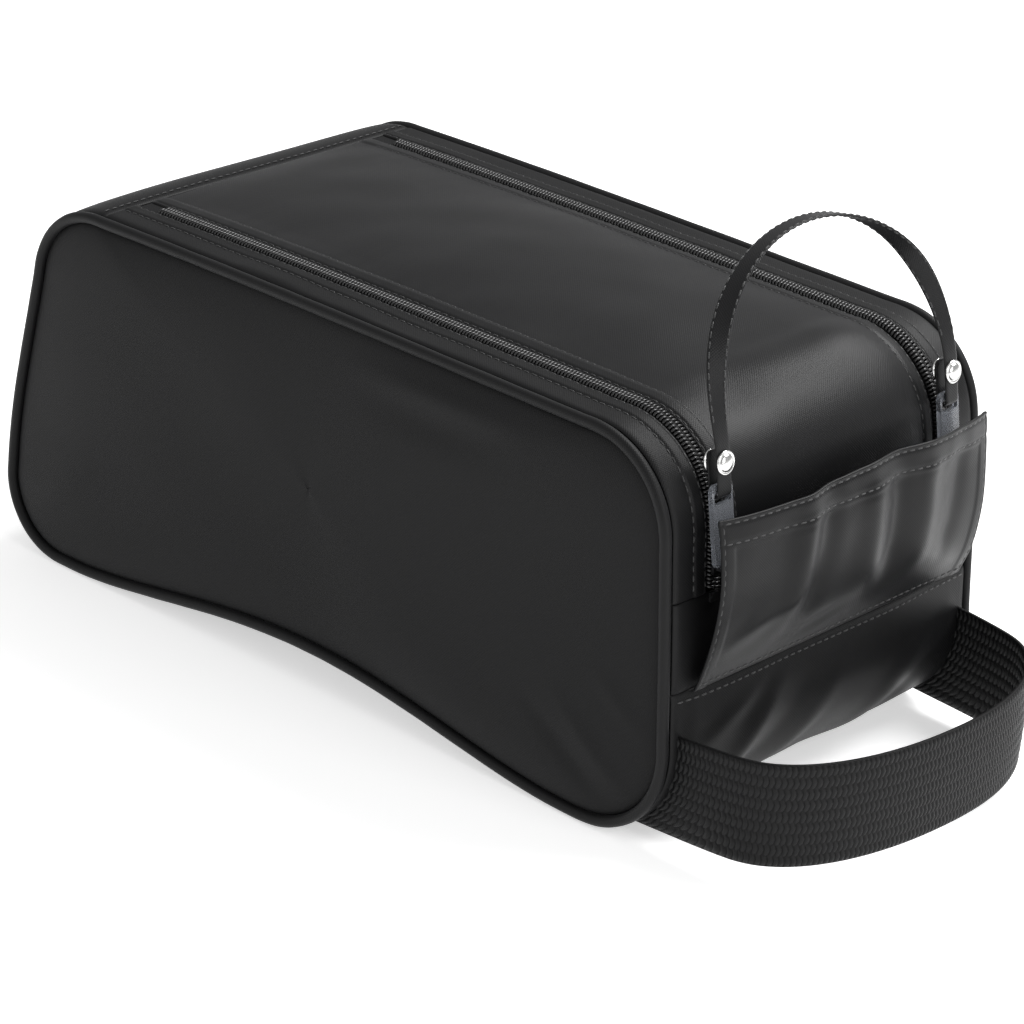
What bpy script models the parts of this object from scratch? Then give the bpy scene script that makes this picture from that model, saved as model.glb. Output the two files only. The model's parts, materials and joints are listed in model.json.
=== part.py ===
"""Shoe bag: kidney-shaped side panels joined by a band, two coil zips, a hinged lid,
a riveted pull strap, an open-sided front cover and a webbing grab handle.
Metres. +X is the front end with the grab handle, +Z is up."""

import math

import bmesh
import bpy
from mathutils import Matrix, Vector

# Overall form of the side panel
LENGTH_BOTTOM = 0.361
HEIGHT = 0.154
WIDTH = 0.175
REAR_SETBACK = 0.029
FRONT_SETBACK = 0.010
CORNER_FRONT_TOP = 0.037
CORNER_REAR_TOP = 0.036
CORNER_FRONT_BOTTOM = 0.038
CORNER_REAR_BOTTOM = 0.031
ARCH_RISE = 0.014
LOBE_FLAT = 0.010

# Fabric and seams
FABRIC = 0.0014
GAP = 0.0003
PIPING_RADIUS = 0.0022
BINDING_DEPTH = 0.008
BINDING_THICKNESS = 0.0012
STATION = 0.0085

# Zips
ZIP_FROM_SIDE = 0.0245
STRIP_TO_ZIP = 0.0030
LID_TO_ZIP = 0.0036
TAPE_THICKNESS = 0.0007
TAPE_TUCK = 0.0070
COIL_WIDTH = 0.0020
COIL_HEIGHT = 0.0014
ZIP_END_HEIGHT = 0.096
HINGE_FROM_REAR = 0.054
HINGE_CLEARANCE = 0.0010
ZIP_START = 0.010
LID_CROWN = 0.0045

# Zip sliders and pull strap
SLIDER_LENGTH = 0.0105
SLIDER_WIDTH = 0.0046
SLIDER_THICKNESS = 0.0012
SLIDER_CLEARANCE = 0.0022
SLIDER_HEIGHT = 0.108
BAIL_THICKNESS = 0.0014
BAIL_ROOM = 0.0028
BAIL_REACH = 0.0034
BAIL_HOLE_WIDTH = 0.0034
BAIL_HOLE_LENGTH = 0.0044
TAB_FOOT = 0.0009
TAB_WIDTH = 0.0105
TAB_LENGTH = 0.029
TAB_THICKNESS = 0.0020
SLOT_WIDTH = 0.0086
SLOT_HEIGHT = 0.0044
SLOT_BAR = 0.0026
PULL_LEAN = math.radians(9.0)
STRAP_WIDTH = 0.0074
STRAP_THICKNESS = 0.0010
STRAP_RISE = 0.064
STRAP_LEAN = 0.013
RIVET_RADIUS = 0.0044
RIVET_HEIGHT = 0.0018
RIVET_ABOVE_BAR = 0.0078

# Front cover
COVER_SEAM_HEIGHT = 0.062
COVER_HEIGHT = 0.068
COVER_WIDTH = 0.149
COVER_BOW = 0.0125
COVER_BELLY = 0.0060
COVER_CLEARANCE = 0.0012

# Grab handle
WEB_WIDTH = 0.040
WEB_THICKNESS = 0.0018
HANDLE_REACH = 0.060
HANDLE_ROOT = 0.0190
HANDLE_ABOVE_FLOOR = 0.006
HANDLE_EDGE_ROOM = 0.0050

BLACK_FABRIC = ((0.022, 0.022, 0.023), 0.62, 0.0)
BLACK_TAPE = ((0.016, 0.016, 0.017), 0.80, 0.0)
BLACK_NYLON = ((0.020, 0.020, 0.021), 0.38, 0.0)
BLACK_METAL = ((0.040, 0.040, 0.042), 0.35, 1.0)
BRIGHT_METAL = ((0.780, 0.780, 0.770), 0.22, 1.0)
CLEAR_PLASTIC = ((0.180, 0.185, 0.195), 0.18, 0.0)


def clear_scene():
    for item in list(bpy.data.objects):
        bpy.data.objects.remove(item, do_unlink=True)


def material(name, look):
    colour, roughness, metallic = look
    made = bpy.data.materials.get(name) or bpy.data.materials.new(name)
    made.use_nodes = True
    shader = made.node_tree.nodes["Principled BSDF"]
    shader.inputs["Base Color"].default_value = (*colour, 1.0)
    shader.inputs["Roughness"].default_value = roughness
    shader.inputs["Metallic"].default_value = metallic
    return made


def finish(name, mesh_data, look, parent=None, smooth=True):
    """Turn a bmesh into a named object with outward faces and a material."""
    bmesh.ops.recalc_face_normals(mesh_data, faces=mesh_data.faces)
    mesh = bpy.data.meshes.new(name)
    mesh_data.to_mesh(mesh)
    mesh_data.free()
    if smooth:
        mesh.shade_smooth()
        mesh.set_sharp_from_angle(angle=math.radians(40))
    made = bpy.data.objects.new(name, mesh)
    bpy.context.collection.objects.link(made)
    made.data.materials.append(material(name + "_material", look))
    if parent:
        made.parent = parent
    return made


def axis_empty(name, x, z, lean=0.0, parent=None):
    """An empty on a joint's axis, which runs along Y."""
    made = bpy.data.objects.new(name, None)
    bpy.context.collection.objects.link(made)
    made.location = (x, 0.0, z)
    made.rotation_euler = (0.0, lean, 0.0)
    if parent:
        made.parent = parent
    return made


def loft(rings):
    """A closed solid through rings that hold the same number of points."""
    bm = bmesh.new()
    made = []
    for ring in rings:
        made.append([bm.verts.new(point) for point in ring])
    count = len(rings[0])
    for first, second in zip(made, made[1:]):
        for i in range(count):
            j = (i + 1) % count
            bm.faces.new((first[i], first[j], second[j], second[i]))
    bm.faces.new(made[0])
    bm.faces.new(reversed(made[-1]))
    return bm


# ---------------------------------------------------------------- the outline

def round_corner(before, corner, after, radius, steps=24):
    """Points of the arc that rounds one corner of the outline."""
    to_before = (before - corner).normalized()
    to_after = (after - corner).normalized()
    half = to_before.angle(to_after) / 2
    centre = corner + (to_before + to_after).normalized() * radius / math.sin(half)
    start = corner + to_before * radius / math.tan(half)
    turn = math.pi - 2 * half
    arm = start - centre
    points = []
    for i in range(steps + 1):
        angle = turn * i / steps
        cos_a = math.cos(angle)
        sin_a = math.sin(angle)
        points.append(centre + Vector((arm.x * cos_a - arm.y * sin_a, arm.x * sin_a + arm.y * cos_a)))
    return points, centre


def outline_points():
    """The side panel's outline, once round from the front lobe, front end first."""
    half = LENGTH_BOTTOM / 2
    front_bottom = Vector((half, 0.0))
    front_top = Vector((half - FRONT_SETBACK, HEIGHT))
    rear_top = Vector((-half + REAR_SETBACK, HEIGHT))
    rear_bottom = Vector((-half, 0.0))
    corners = (front_bottom, front_top, rear_top, rear_bottom)
    radii = (CORNER_FRONT_BOTTOM, CORNER_FRONT_TOP, CORNER_REAR_TOP, CORNER_REAR_BOTTOM)
    points = []
    centres = []
    for i, corner in enumerate(corners):
        arc, centre = round_corner(corners[i - 1], corner, corners[(i + 1) % 4], radii[i])
        points.extend(arc)
        centres.append(centre)
    rear_foot = points[-1].x + LOBE_FLAT
    front_foot = points[0].x - LOBE_FLAT
    for i in range(65):
        part = i / 64
        x = rear_foot + (front_foot - rear_foot) * part
        z = ARCH_RISE * (0.5 - 0.5 * math.cos(2 * math.pi * part)) ** 0.8
        points.append(Vector((x, z)))
    return points, centres


class Path:
    """The outline as a closed path measured by its length, with outward normals."""

    def __init__(self):
        self.points, centres = outline_points()
        self.front_corner = centres[1]
        self.lengths = [0.0]
        for i, point in enumerate(self.points):
            after = self.points[(i + 1) % len(self.points)]
            self.lengths.append(self.lengths[-1] + (after - point).length)
        self.total = self.lengths[-1]
        self.count = len(self.points)

    def at(self, length):
        length = length % self.total
        for i in range(self.count):
            if length <= self.lengths[i + 1] or i == self.count - 1:
                span = self.lengths[i + 1] - self.lengths[i]
                part = (length - self.lengths[i]) / span
                return self.points[i].lerp(self.points[(i + 1) % self.count], part)

    def normal(self, length):
        step = 0.0012
        along = self.at(length + step) - self.at(length - step)
        return Vector((along.y, -along.x)).normalized()

    def offset(self, length, distance):
        return self.at(length) + self.normal(length) * distance

    def front_at_height(self, height):
        """The length at which the front end first reaches a height."""
        for i, point in enumerate(self.points[1:], 1):
            before = self.points[i - 1]
            if point.y >= height:
                part = (height - before.y) / (point.y - before.y)
                return self.lengths[i - 1] + part * (point - before).length

    def top_at_x(self, x):
        """The length at which the top edge, running rearward, reaches x."""
        for i, point in enumerate(self.points[1:], 1):
            before = self.points[i - 1]
            if before.y > HEIGHT / 2 and point.x <= x:
                part = (before.x - x) / (before.x - point.x)
                return self.lengths[i - 1] + part * (point - before).length


clear_scene()
PATH = Path()
LEFT = min(point.x for point in PATH.points)
FRONT = max(point.x for point in PATH.points)
SHIFT = -(LEFT + FRONT + HANDLE_REACH) / 2
SEAM_Y = WIDTH / 2 - 2 * PIPING_RADIUS - GAP
ZIP_Y = WIDTH / 2 - ZIP_FROM_SIDE
LID_EDGE = ZIP_Y - LID_TO_ZIP
STRIP_EDGE = ZIP_Y + STRIP_TO_ZIP


def world(point, y):
    return Vector((point.x + SHIFT, y, point.y))


def stations(start, end):
    count = max(2, math.ceil((end - start) / STATION))
    return [start + (end - start) * i / count for i in range(count + 1)]


def band(name, start, end, y_low, y_high, outer, thickness, look, crown=None, across=1, parent=None):
    """A piece of the band: it follows the outline between two lengths and two widths."""
    rings = []
    for length in stations(start, end):
        ys = [y_low + (y_high - y_low) * i / across for i in range(across + 1)]
        top = []
        under = []
        for y in ys:
            lift = crown(length, y) if crown else 0.0
            top.append(world(PATH.offset(length, outer + lift), y))
            under.append(world(PATH.offset(length, outer + lift - thickness), y))
        rings.append(top + under[::-1])
    bm = loft(rings)
    if parent:
        bm.transform(parent.matrix_world.inverted())
    return finish(name, bm, look, parent)


# --------------------------------------------------------------- side panels

def side_panel(side, sign):
    """A flat panel inside the ring of piping."""
    bm = bmesh.new()
    inset = -(2 * PIPING_RADIUS + GAP)
    middle = WIDTH / 2 - PIPING_RADIUS
    lower = []
    upper = []
    for length in stations(0.0, PATH.total)[:-1]:
        point = PATH.offset(length, inset)
        lower.append(bm.verts.new(world(point, sign * (middle - FABRIC / 2))))
        upper.append(bm.verts.new(world(point, sign * (middle + FABRIC / 2))))
    bm.faces.new(lower)
    bm.faces.new(upper)
    for i in range(len(lower)):
        j = (i + 1) % len(lower)
        bm.faces.new((lower[i], lower[j], upper[j], upper[i]))
    finish("side_panel_" + side, bm, BLACK_FABRIC)


def ring_tube(name, inset, y, radius, sides, look):
    """A round cord along the whole outline."""
    bm = bmesh.new()
    rings = []
    for length in stations(0.0, PATH.total)[:-1]:
        centre = world(PATH.offset(length, -inset), y)
        out = PATH.normal(length)
        out = Vector((out.x, 0.0, out.y))
        ring = []
        for k in range(sides):
            angle = 2 * math.pi * (k + 0.5) / sides
            reach = radius / math.cos(math.pi / sides)
            across = Vector((0.0, math.sin(angle), 0.0))
            ring.append(bm.verts.new(centre + (out * math.cos(angle) + across) * reach))
        rings.append(ring)
    for i, ring in enumerate(rings):
        after = rings[(i + 1) % len(rings)]
        for k in range(sides):
            m = (k + 1) % sides
            bm.faces.new((ring[k], ring[m], after[m], after[k]))
    finish(name, bm, look)


def seam_binding(side, sign):
    """The tape that binds the raw edges of the seam inside the bag."""
    bm = bmesh.new()
    y_out = sign * (SEAM_Y - GAP)
    y_in = sign * (SEAM_Y - GAP - BINDING_THICKNESS)
    high = FABRIC + GAP
    low = high + BINDING_DEPTH
    rings = []
    for length in stations(0.0, PATH.total)[:-1]:
        rings.append([
            bm.verts.new(world(PATH.offset(length, -high), y_out)),
            bm.verts.new(world(PATH.offset(length, -low), y_out)),
            bm.verts.new(world(PATH.offset(length, -low), y_in)),
            bm.verts.new(world(PATH.offset(length, -high), y_in)),
        ])
    for i, ring in enumerate(rings):
        after = rings[(i + 1) % len(rings)]
        for k in range(4):
            m = (k + 1) % 4
            bm.faces.new((ring[k], ring[m], after[m], after[k]))
    finish("seam_binding_" + side, bm, BLACK_TAPE)


# ---------------------------------------------------------------- the band

LOBE = 0.0
SEAM_FRONT = PATH.front_at_height(COVER_SEAM_HEIGHT)
ZIP_END = PATH.front_at_height(ZIP_END_HEIGHT)
HINGE_X = LEFT + HINGE_FROM_REAR
HINGE = PATH.top_at_x(HINGE_X)
REAR_LOBE = PATH.total - (PATH.points[0].x - LEFT)
for number, found in enumerate(PATH.points):
    if found.y < LOBE_FLAT / 20 and found.x < 0:
        REAR_LOBE = PATH.lengths[number]
        break


def lid_crown(length, y):
    """How far the lid swells between its zips and away from its ends."""
    part = (length - ZIP_END) / (HINGE - ZIP_END)
    along = math.sin(math.pi * min(1.0, max(0.0, part))) ** 0.5
    return LID_CROWN * along * (1 - (y / LID_EDGE) ** 2)


def build_side(side, sign):
    side_panel(side, sign)
    ring_tube("piping_" + side, PIPING_RADIUS, sign * (WIDTH / 2 - PIPING_RADIUS), PIPING_RADIUS, 8, BLACK_FABRIC)
    seam_binding(side, sign)


def zip_half(side, sign, edge, parent):
    """One tape and its row of coil; edge is +1 beside the strip and -1 beside the lid."""
    fabric_edge = STRIP_EDGE if edge > 0 else LID_EDGE
    label = "outer" if edge > 0 else "lid"
    near_zip = ZIP_Y + edge * (GAP / 2)
    far_edge = fabric_edge + edge * TAPE_TUCK
    tape_low, tape_high = sorted((sign * near_zip, sign * far_edge))
    under = -(FABRIC + GAP)
    start = ZIP_END + GAP
    end = HINGE - ZIP_START
    band(f"zip_tape_{side}_{label}", start, end, tape_low, tape_high, under, TAPE_THICKNESS, BLACK_TAPE,
         parent=parent)
    coil_low, coil_high = sorted((sign * near_zip, sign * (near_zip + edge * COIL_WIDTH)))
    top = under + GAP + COIL_HEIGHT
    band(f"zip_coil_{side}_{label}", start, end, coil_low, coil_high, top, COIL_HEIGHT, BLACK_NYLON,
         parent=parent)


def zip_stop(side, sign):
    """The metal stop that closes the front end of a zip."""
    low, high = sorted((sign * (ZIP_Y - COIL_WIDTH), sign * (ZIP_Y + COIL_WIDTH)))
    band("zip_stop_" + side, ZIP_END - 0.0035, ZIP_END - GAP, low, high, GAP + 0.0010, 0.0010, BLACK_METAL)


def build_band():
    band("bottom_panel", REAR_LOBE + GAP, PATH.total - GAP, -SEAM_Y, SEAM_Y, 0.0, FABRIC, BLACK_FABRIC)
    band("front_end_lower_panel", LOBE, SEAM_FRONT - GAP / 2, -SEAM_Y, SEAM_Y, 0.0, FABRIC, BLACK_FABRIC)
    band("front_end_upper_panel", SEAM_FRONT + GAP / 2, ZIP_END, -SEAM_Y, SEAM_Y, 0.0, FABRIC, BLACK_FABRIC)
    band("rear_end_panel", HINGE + HINGE_CLEARANCE, REAR_LOBE, -SEAM_Y, SEAM_Y, 0.0, FABRIC, BLACK_FABRIC)
    for side, sign in (("near", -1), ("far", 1)):
        low, high = sorted((sign * STRIP_EDGE, sign * SEAM_Y))
        band("gusset_strip_" + side, ZIP_END + GAP, HINGE, low, high, 0.0, FABRIC, BLACK_FABRIC)
        zip_half(side, sign, 1, None)
        zip_stop(side, sign)


def build_label():
    """A blank woven label sewn inside the rear end."""
    start = HINGE + 0.045
    band("inside_label", start, start + 0.030, -0.020, 0.020, -(FABRIC + GAP), 0.0006, BLACK_TAPE)


# ----------------------------------------------------------------- the lid

def build_lid():
    hinge = PATH.offset(HINGE, -FABRIC / 2)
    pivot = axis_empty("lid_pivot", hinge.x + SHIFT, hinge.y)
    bpy.context.view_layer.update()
    band("lid_panel", ZIP_END + GAP, HINGE, -LID_EDGE, LID_EDGE, 0.0, FABRIC, BLACK_FABRIC,
         crown=lid_crown, across=8, parent=pivot)
    for side, sign in (("near", -1), ("far", 1)):
        zip_half(side, sign, -1, pivot)
    return pivot


# ------------------------------------------------- sliders, tabs and strap

def box(bm, low, high):
    made = bmesh.ops.create_cube(bm, size=1.0)
    size = Vector(high) - Vector(low)
    middle = (Vector(high) + Vector(low)) / 2
    bmesh.ops.scale(bm, vec=size, verts=made["verts"])
    bmesh.ops.translate(bm, vec=middle, verts=made["verts"])
    return made["verts"]


def plate_outline(width, bottom, top, corner, steps=5):
    """A round-cornered rectangle in Y and Z, counter-clockwise."""
    points = []
    centres = (
        (width / 2 - corner, bottom + corner, -90),
        (width / 2 - corner, top - corner, 0),
        (-width / 2 + corner, top - corner, 90),
        (-width / 2 + corner, bottom + corner, 180),
    )
    for y, z, start in centres:
        for i in range(steps + 1):
            angle = math.radians(start + 90 * i / steps)
            points.append((y + corner * math.cos(angle), z + corner * math.sin(angle)))
    return points


def ring_plate(outer, inner, y_middle, x_low, x_high):
    """A plate along X with a hole, from two outlines of equal length."""
    bm = bmesh.new()
    loops = []
    for points in (outer, inner):
        for x in (x_low, x_high):
            loops.append([bm.verts.new((x, y_middle + y, z)) for y, z in points])
    outer_low, outer_high, inner_low, inner_high = loops
    count = len(outer)
    for i in range(count):
        j = (i + 1) % count
        bm.faces.new((outer_low[i], outer_low[j], outer_high[j], outer_high[i]))
        bm.faces.new((inner_low[i], inner_high[i], inner_high[j], inner_low[j]))
        bm.faces.new((outer_low[i], inner_low[i], inner_low[j], outer_low[j]))
        bm.faces.new((outer_high[i], outer_high[j], inner_high[j], inner_high[i]))
    return bm


CORNER = PATH.front_corner
BAIL_HEIGHT = TAB_THICKNESS + BAIL_THICKNESS + BAIL_ROOM
FRONT_FACE = CORNER.x + CORNER_FRONT_TOP
SLIDER_X = FRONT_FACE + SLIDER_CLEARANCE
BAIL_X = SLIDER_X + SLIDER_THICKNESS + (BAIL_HEIGHT - BAIL_THICKNESS) / 2
BAR_TOP = TAB_LENGTH
SLOT_TOP = BAR_TOP - SLOT_BAR
RIVET_Z = BAR_TOP + RIVET_ABOVE_BAR
PLY = TAB_THICKNESS / 2 + 2 * GAP + STRAP_THICKNESS / 2


def build_slider(side, sign, parent):
    """The upper wing of a slider, with the bail that holds its pull tab."""
    bm = bmesh.new()
    y = sign * ZIP_Y
    points = plate_outline(SLIDER_WIDTH, SLIDER_HEIGHT - SLIDER_LENGTH / 2,
                           SLIDER_HEIGHT + SLIDER_LENGTH / 2, 0.0012, 3)
    low = [bm.verts.new((SLIDER_X, y + a, z)) for a, z in points]
    high = [bm.verts.new((SLIDER_X + SLIDER_THICKNESS, y + a, z)) for a, z in points]
    bm.faces.new(reversed(low))
    bm.faces.new(high)
    for i in range(len(points)):
        j = (i + 1) % len(points)
        bm.faces.new((low[i], low[j], high[j], high[i]))
    bm.transform(Matrix.Translation((SHIFT, 0, 0)))
    bm.transform(parent.matrix_world.inverted())
    wing = finish("zip_slider_" + side, bm, BLACK_METAL, parent)

    profile = bmesh.new()
    x_root = SLIDER_X + SLIDER_THICKNESS - 0.0004
    x_top = SLIDER_X + SLIDER_THICKNESS + BAIL_HEIGHT
    reach = BAIL_REACH
    outer = [(x_root, -reach), (x_root, reach), (x_top - 0.001, reach), (x_top, reach - 0.001),
             (x_top, -reach + 0.001), (x_top - 0.001, -reach)]
    inner = [(x_root, -reach + BAIL_THICKNESS), (x_root, reach - BAIL_THICKNESS),
             (x_top - BAIL_THICKNESS, reach - BAIL_THICKNESS), (x_top - BAIL_THICKNESS, -reach + BAIL_THICKNESS)]
    arch = [outer[0], inner[0], inner[3], inner[2], inner[1], outer[1], outer[2], outer[3], outer[4], outer[5]]
    first = [profile.verts.new((x, y - BAIL_THICKNESS / 2, SLIDER_HEIGHT + z)) for x, z in arch]
    second = [profile.verts.new((x, y + BAIL_THICKNESS / 2, SLIDER_HEIGHT + z)) for x, z in arch]
    profile.faces.new(first)
    profile.faces.new(reversed(second))
    for i in range(len(arch)):
        j = (i + 1) % len(arch)
        profile.faces.new((first[i], second[i], second[j], first[j]))
    profile.transform(Matrix.Translation((SHIFT, 0, 0)))
    profile.transform(parent.matrix_world.inverted())
    bail = finish("bail_guide_" + side, profile, BLACK_METAL, parent)
    bail.hide_render = True
    bail.display_type = "WIRE"
    union = wing.modifiers.new("bail", "BOOLEAN")
    union.operation = "UNION"
    union.object = bail


def build_tab(side, sign, parent):
    """A moulded clear tab: a small hole for the bail, a slot for the strap."""
    y = sign * ZIP_Y
    outer = plate_outline(TAB_WIDTH, -TAB_FOOT, BAR_TOP, 0.0026)
    slot = plate_outline(SLOT_WIDTH, SLOT_TOP - SLOT_HEIGHT, SLOT_TOP, 0.0012)
    bm = ring_plate(outer, slot, y, -TAB_THICKNESS / 2, TAB_THICKNESS / 2)
    tab = finish("pull_tab_" + side, bm, CLEAR_PLASTIC, parent)
    cutter_mesh = bmesh.new()
    half_hole = BAIL_HOLE_WIDTH / 2
    box(cutter_mesh, (-TAB_THICKNESS, y - half_hole, TAB_FOOT),
        (TAB_THICKNESS, y + half_hole, TAB_FOOT + BAIL_HOLE_LENGTH))
    cutter = finish("bail_hole_guide_" + side, cutter_mesh, CLEAR_PLASTIC, parent)
    cutter.hide_render = True
    cutter.display_type = "WIRE"
    cut = tab.modifiers.new("bail_hole", "BOOLEAN")
    cut.operation = "DIFFERENCE"
    cut.object = cutter


def strap_route():
    """Middle points and width directions, from behind the near tab to behind the far one."""
    end = []
    turn_steps = 6
    top = RIVET_Z + RIVET_RADIUS + 0.001
    turn_centre = SLOT_TOP - PLY - GAP
    for z in (top, (top + turn_centre) / 2):
        end.append((Vector((-PLY, 0.0, z)), Vector((0, 1, 0))))
    for i in range(turn_steps + 1):
        angle = math.pi - math.pi * i / turn_steps
        low = -0.85 * PLY * math.sin(angle)
        end.append((Vector((PLY * math.cos(angle), 0.0, turn_centre + PLY + low)), Vector((0, 1, 0))))
    end.append((Vector((PLY, 0.0, RIVET_Z)), Vector((0, 1, 0))))
    route = [(point + Vector((0, -ZIP_Y, 0)), wide) for point, wide in end]
    base = RIVET_Z + RIVET_RADIUS + 0.001
    steps = 22
    for i in range(steps + 1):
        angle = math.pi * i / steps
        rise = max(0.0, math.sin(angle))
        point = Vector((PLY - STRAP_LEAN * rise, -ZIP_Y * math.cos(angle), base + STRAP_RISE * rise ** 0.85))
        twist = math.pi / 2 * rise ** 1.2
        wide = Vector((math.sin(twist), math.cos(twist), 0.0))
        route.append((point, wide))
    for point, wide in reversed(end):
        route.append((point + Vector((0, ZIP_Y, 0)), wide))
    return route


def build_strap(parent):
    route = strap_route()
    rings = []
    for i, (point, wide) in enumerate(route):
        before = route[max(0, i - 1)][0]
        after = route[min(len(route) - 1, i + 1)][0]
        along = (after - before).normalized()
        wide = (wide - along * wide.dot(along)).normalized()
        thick = along.cross(wide)
        half = wide * STRAP_WIDTH / 2
        skin = thick * STRAP_THICKNESS / 2
        rings.append([point - half - skin, point + half - skin, point + half + skin, point - half + skin])
    finish("pull_strap", loft(rings), BLACK_FABRIC, parent)


def rivet_cap(name, y, x_face, direction, parent):
    """A turned rivet cap: a rim and a low dome, facing along X."""
    profile = ((0.0, RIVET_RADIUS), (0.30, RIVET_RADIUS), (0.50, 0.80 * RIVET_RADIUS),
               (0.62, 0.74 * RIVET_RADIUS), (0.90, 0.42 * RIVET_RADIUS), (1.0, 0.10 * RIVET_RADIUS))
    rings = []
    for share, radius in profile:
        x = x_face + direction * share * RIVET_HEIGHT
        ring = []
        for k in range(20):
            angle = 2 * math.pi * k / 20
            ring.append(Vector((x, y + radius * math.cos(angle), RIVET_Z + radius * math.sin(angle))))
        rings.append(ring)
    finish(name, loft(rings), BRIGHT_METAL, parent)


def build_pull(lid_pivot):
    corner_axis = axis_empty("corner_axis", 0.0, 0.0, parent=lid_pivot)
    corner_axis.location = Vector((CORNER.x + SHIFT, 0.0, CORNER.y)) - lid_pivot.location
    bail_axis = axis_empty("bail_axis", 0.0, 0.0, lean=-PULL_LEAN, parent=corner_axis)
    bail_axis.location = (BAIL_X - CORNER.x, 0.0, SLIDER_HEIGHT - CORNER.y)
    bpy.context.view_layer.update()
    outer_face = PLY + STRAP_THICKNESS / 2 + GAP
    for side, sign in (("near", -1), ("far", 1)):
        build_slider(side, sign, corner_axis)
        build_tab(side, sign, bail_axis)
        rivet_cap("rivet_cap_" + side, sign * ZIP_Y, outer_face, 1, bail_axis)
        rivet_cap("rivet_back_" + side, sign * ZIP_Y, -outer_face, -1, bail_axis)
    build_strap(bail_axis)


# ----------------------------------------------------- cover and grab handle

def build_cover():
    """The open-sided panel on the front end, hinged at its bottom seam."""
    base = PATH.offset(SEAM_FRONT, COVER_CLEARANCE + FABRIC / 2)
    pivot = axis_empty("cover_pivot", base.x + SHIFT, base.y)
    half = COVER_WIDTH / 2
    rows = 10
    columns = 12
    rings = []
    for i in range(rows + 1):
        part = i / rows
        bow = COVER_BOW * (1 - (1 - part) ** 2.4)
        front = []
        back = []
        for j in range(columns + 1):
            y = -half + COVER_WIDTH * j / columns
            belly = COVER_BELLY * math.sin(math.pi / 2 * part) * (1 - (y / half) ** 2)
            x = bow + belly
            front.append(Vector((x + FABRIC / 2, y, COVER_HEIGHT * part)))
            back.append(Vector((x - FABRIC / 2, y, COVER_HEIGHT * part)))
        rings.append(front + back[::-1])
    finish("front_cover_panel", loft(rings), BLACK_FABRIC, pivot)


ROOT_Y = SEAM_Y - HANDLE_EDGE_ROOM
HANDLE_MIDDLE = HANDLE_ABOVE_FLOOR + WEB_WIDTH / 2


def build_handle_roots():
    """The sewn-in ends of the webbing, which stand out of the side seams."""
    for side, sign in (("near", -1), ("far", 1)):
        bm = bmesh.new()
        y_one, y_two = sorted((sign * ROOT_Y, sign * (ROOT_Y + WEB_THICKNESS)))
        start = FRONT + COVER_CLEARANCE + SHIFT
        box(bm, (start, y_one, HANDLE_ABOVE_FLOOR), (FRONT + HANDLE_ROOT + SHIFT, y_two, HANDLE_ABOVE_FLOOR + WEB_WIDTH))
        finish("handle_root_" + side, bm, BLACK_TAPE, smooth=False)


def build_handle():
    """The loop of ribbed webbing, turning about the line through its two roots."""
    axis_x = FRONT + HANDLE_ROOT
    pivot = axis_empty("handle_pivot", axis_x + SHIFT, HANDLE_MIDDLE)
    half = ROOT_Y - GAP - WEB_THICKNESS / 2
    reach = HANDLE_REACH - HANDLE_ROOT - WEB_THICKNESS / 2
    steps = 26
    rings = []
    for i in range(steps + 1):
        angle = math.pi * i / steps
        x = reach * max(0.0, math.sin(angle)) ** 0.9
        y = -half * math.copysign(abs(math.cos(angle)) ** 0.9, math.cos(angle))
        slope = Vector((reach * math.cos(angle), half * math.sin(angle)))
        out = Vector((slope.y, -slope.x)).normalized()
        low = -WEB_WIDTH / 2
        ring = []
        for push, z in ((-1, low), (1, low), (1, -low), (-1, -low)):
            skin = out * push * WEB_THICKNESS / 2
            ring.append(Vector((x + skin.x, y + skin.y, z)))
        rings.append(ring)
    finish("grab_handle", loft(rings), BLACK_TAPE, pivot)


build_side("near", -1)
build_side("far", 1)
build_band()
build_label()
build_pull(build_lid())
build_cover()
build_handle_roots()
build_handle()
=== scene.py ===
import json
import math

import bmesh
import bpy
import numpy as np
from mathutils import Matrix, Vector, noise


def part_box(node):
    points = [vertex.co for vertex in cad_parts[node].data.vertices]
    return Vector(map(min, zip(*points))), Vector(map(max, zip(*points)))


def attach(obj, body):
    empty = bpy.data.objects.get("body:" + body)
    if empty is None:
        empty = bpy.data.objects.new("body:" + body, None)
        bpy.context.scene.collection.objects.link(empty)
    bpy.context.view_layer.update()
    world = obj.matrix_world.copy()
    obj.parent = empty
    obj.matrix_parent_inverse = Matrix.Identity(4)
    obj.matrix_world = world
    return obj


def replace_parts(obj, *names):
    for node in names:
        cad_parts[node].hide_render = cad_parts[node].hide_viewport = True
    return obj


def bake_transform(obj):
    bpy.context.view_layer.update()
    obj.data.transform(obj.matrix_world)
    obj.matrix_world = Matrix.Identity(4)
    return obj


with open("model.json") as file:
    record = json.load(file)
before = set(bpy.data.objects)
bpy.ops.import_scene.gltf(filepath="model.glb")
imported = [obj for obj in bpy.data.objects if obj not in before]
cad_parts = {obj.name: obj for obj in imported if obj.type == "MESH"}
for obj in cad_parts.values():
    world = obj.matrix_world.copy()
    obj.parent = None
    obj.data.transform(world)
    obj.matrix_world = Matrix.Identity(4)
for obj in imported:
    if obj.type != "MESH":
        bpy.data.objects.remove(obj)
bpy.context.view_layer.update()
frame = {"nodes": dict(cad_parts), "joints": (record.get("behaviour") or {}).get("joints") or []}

# ------------------------------------------------------------------ side panels
# Two kidney-shaped panels of coated black polyester close the sides of the bag.
# Each is cut flat and sewn into the welted seam all round, so it pulls in at the
# seam and swells a little between, with soft drag lines near the tight corners.

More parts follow.
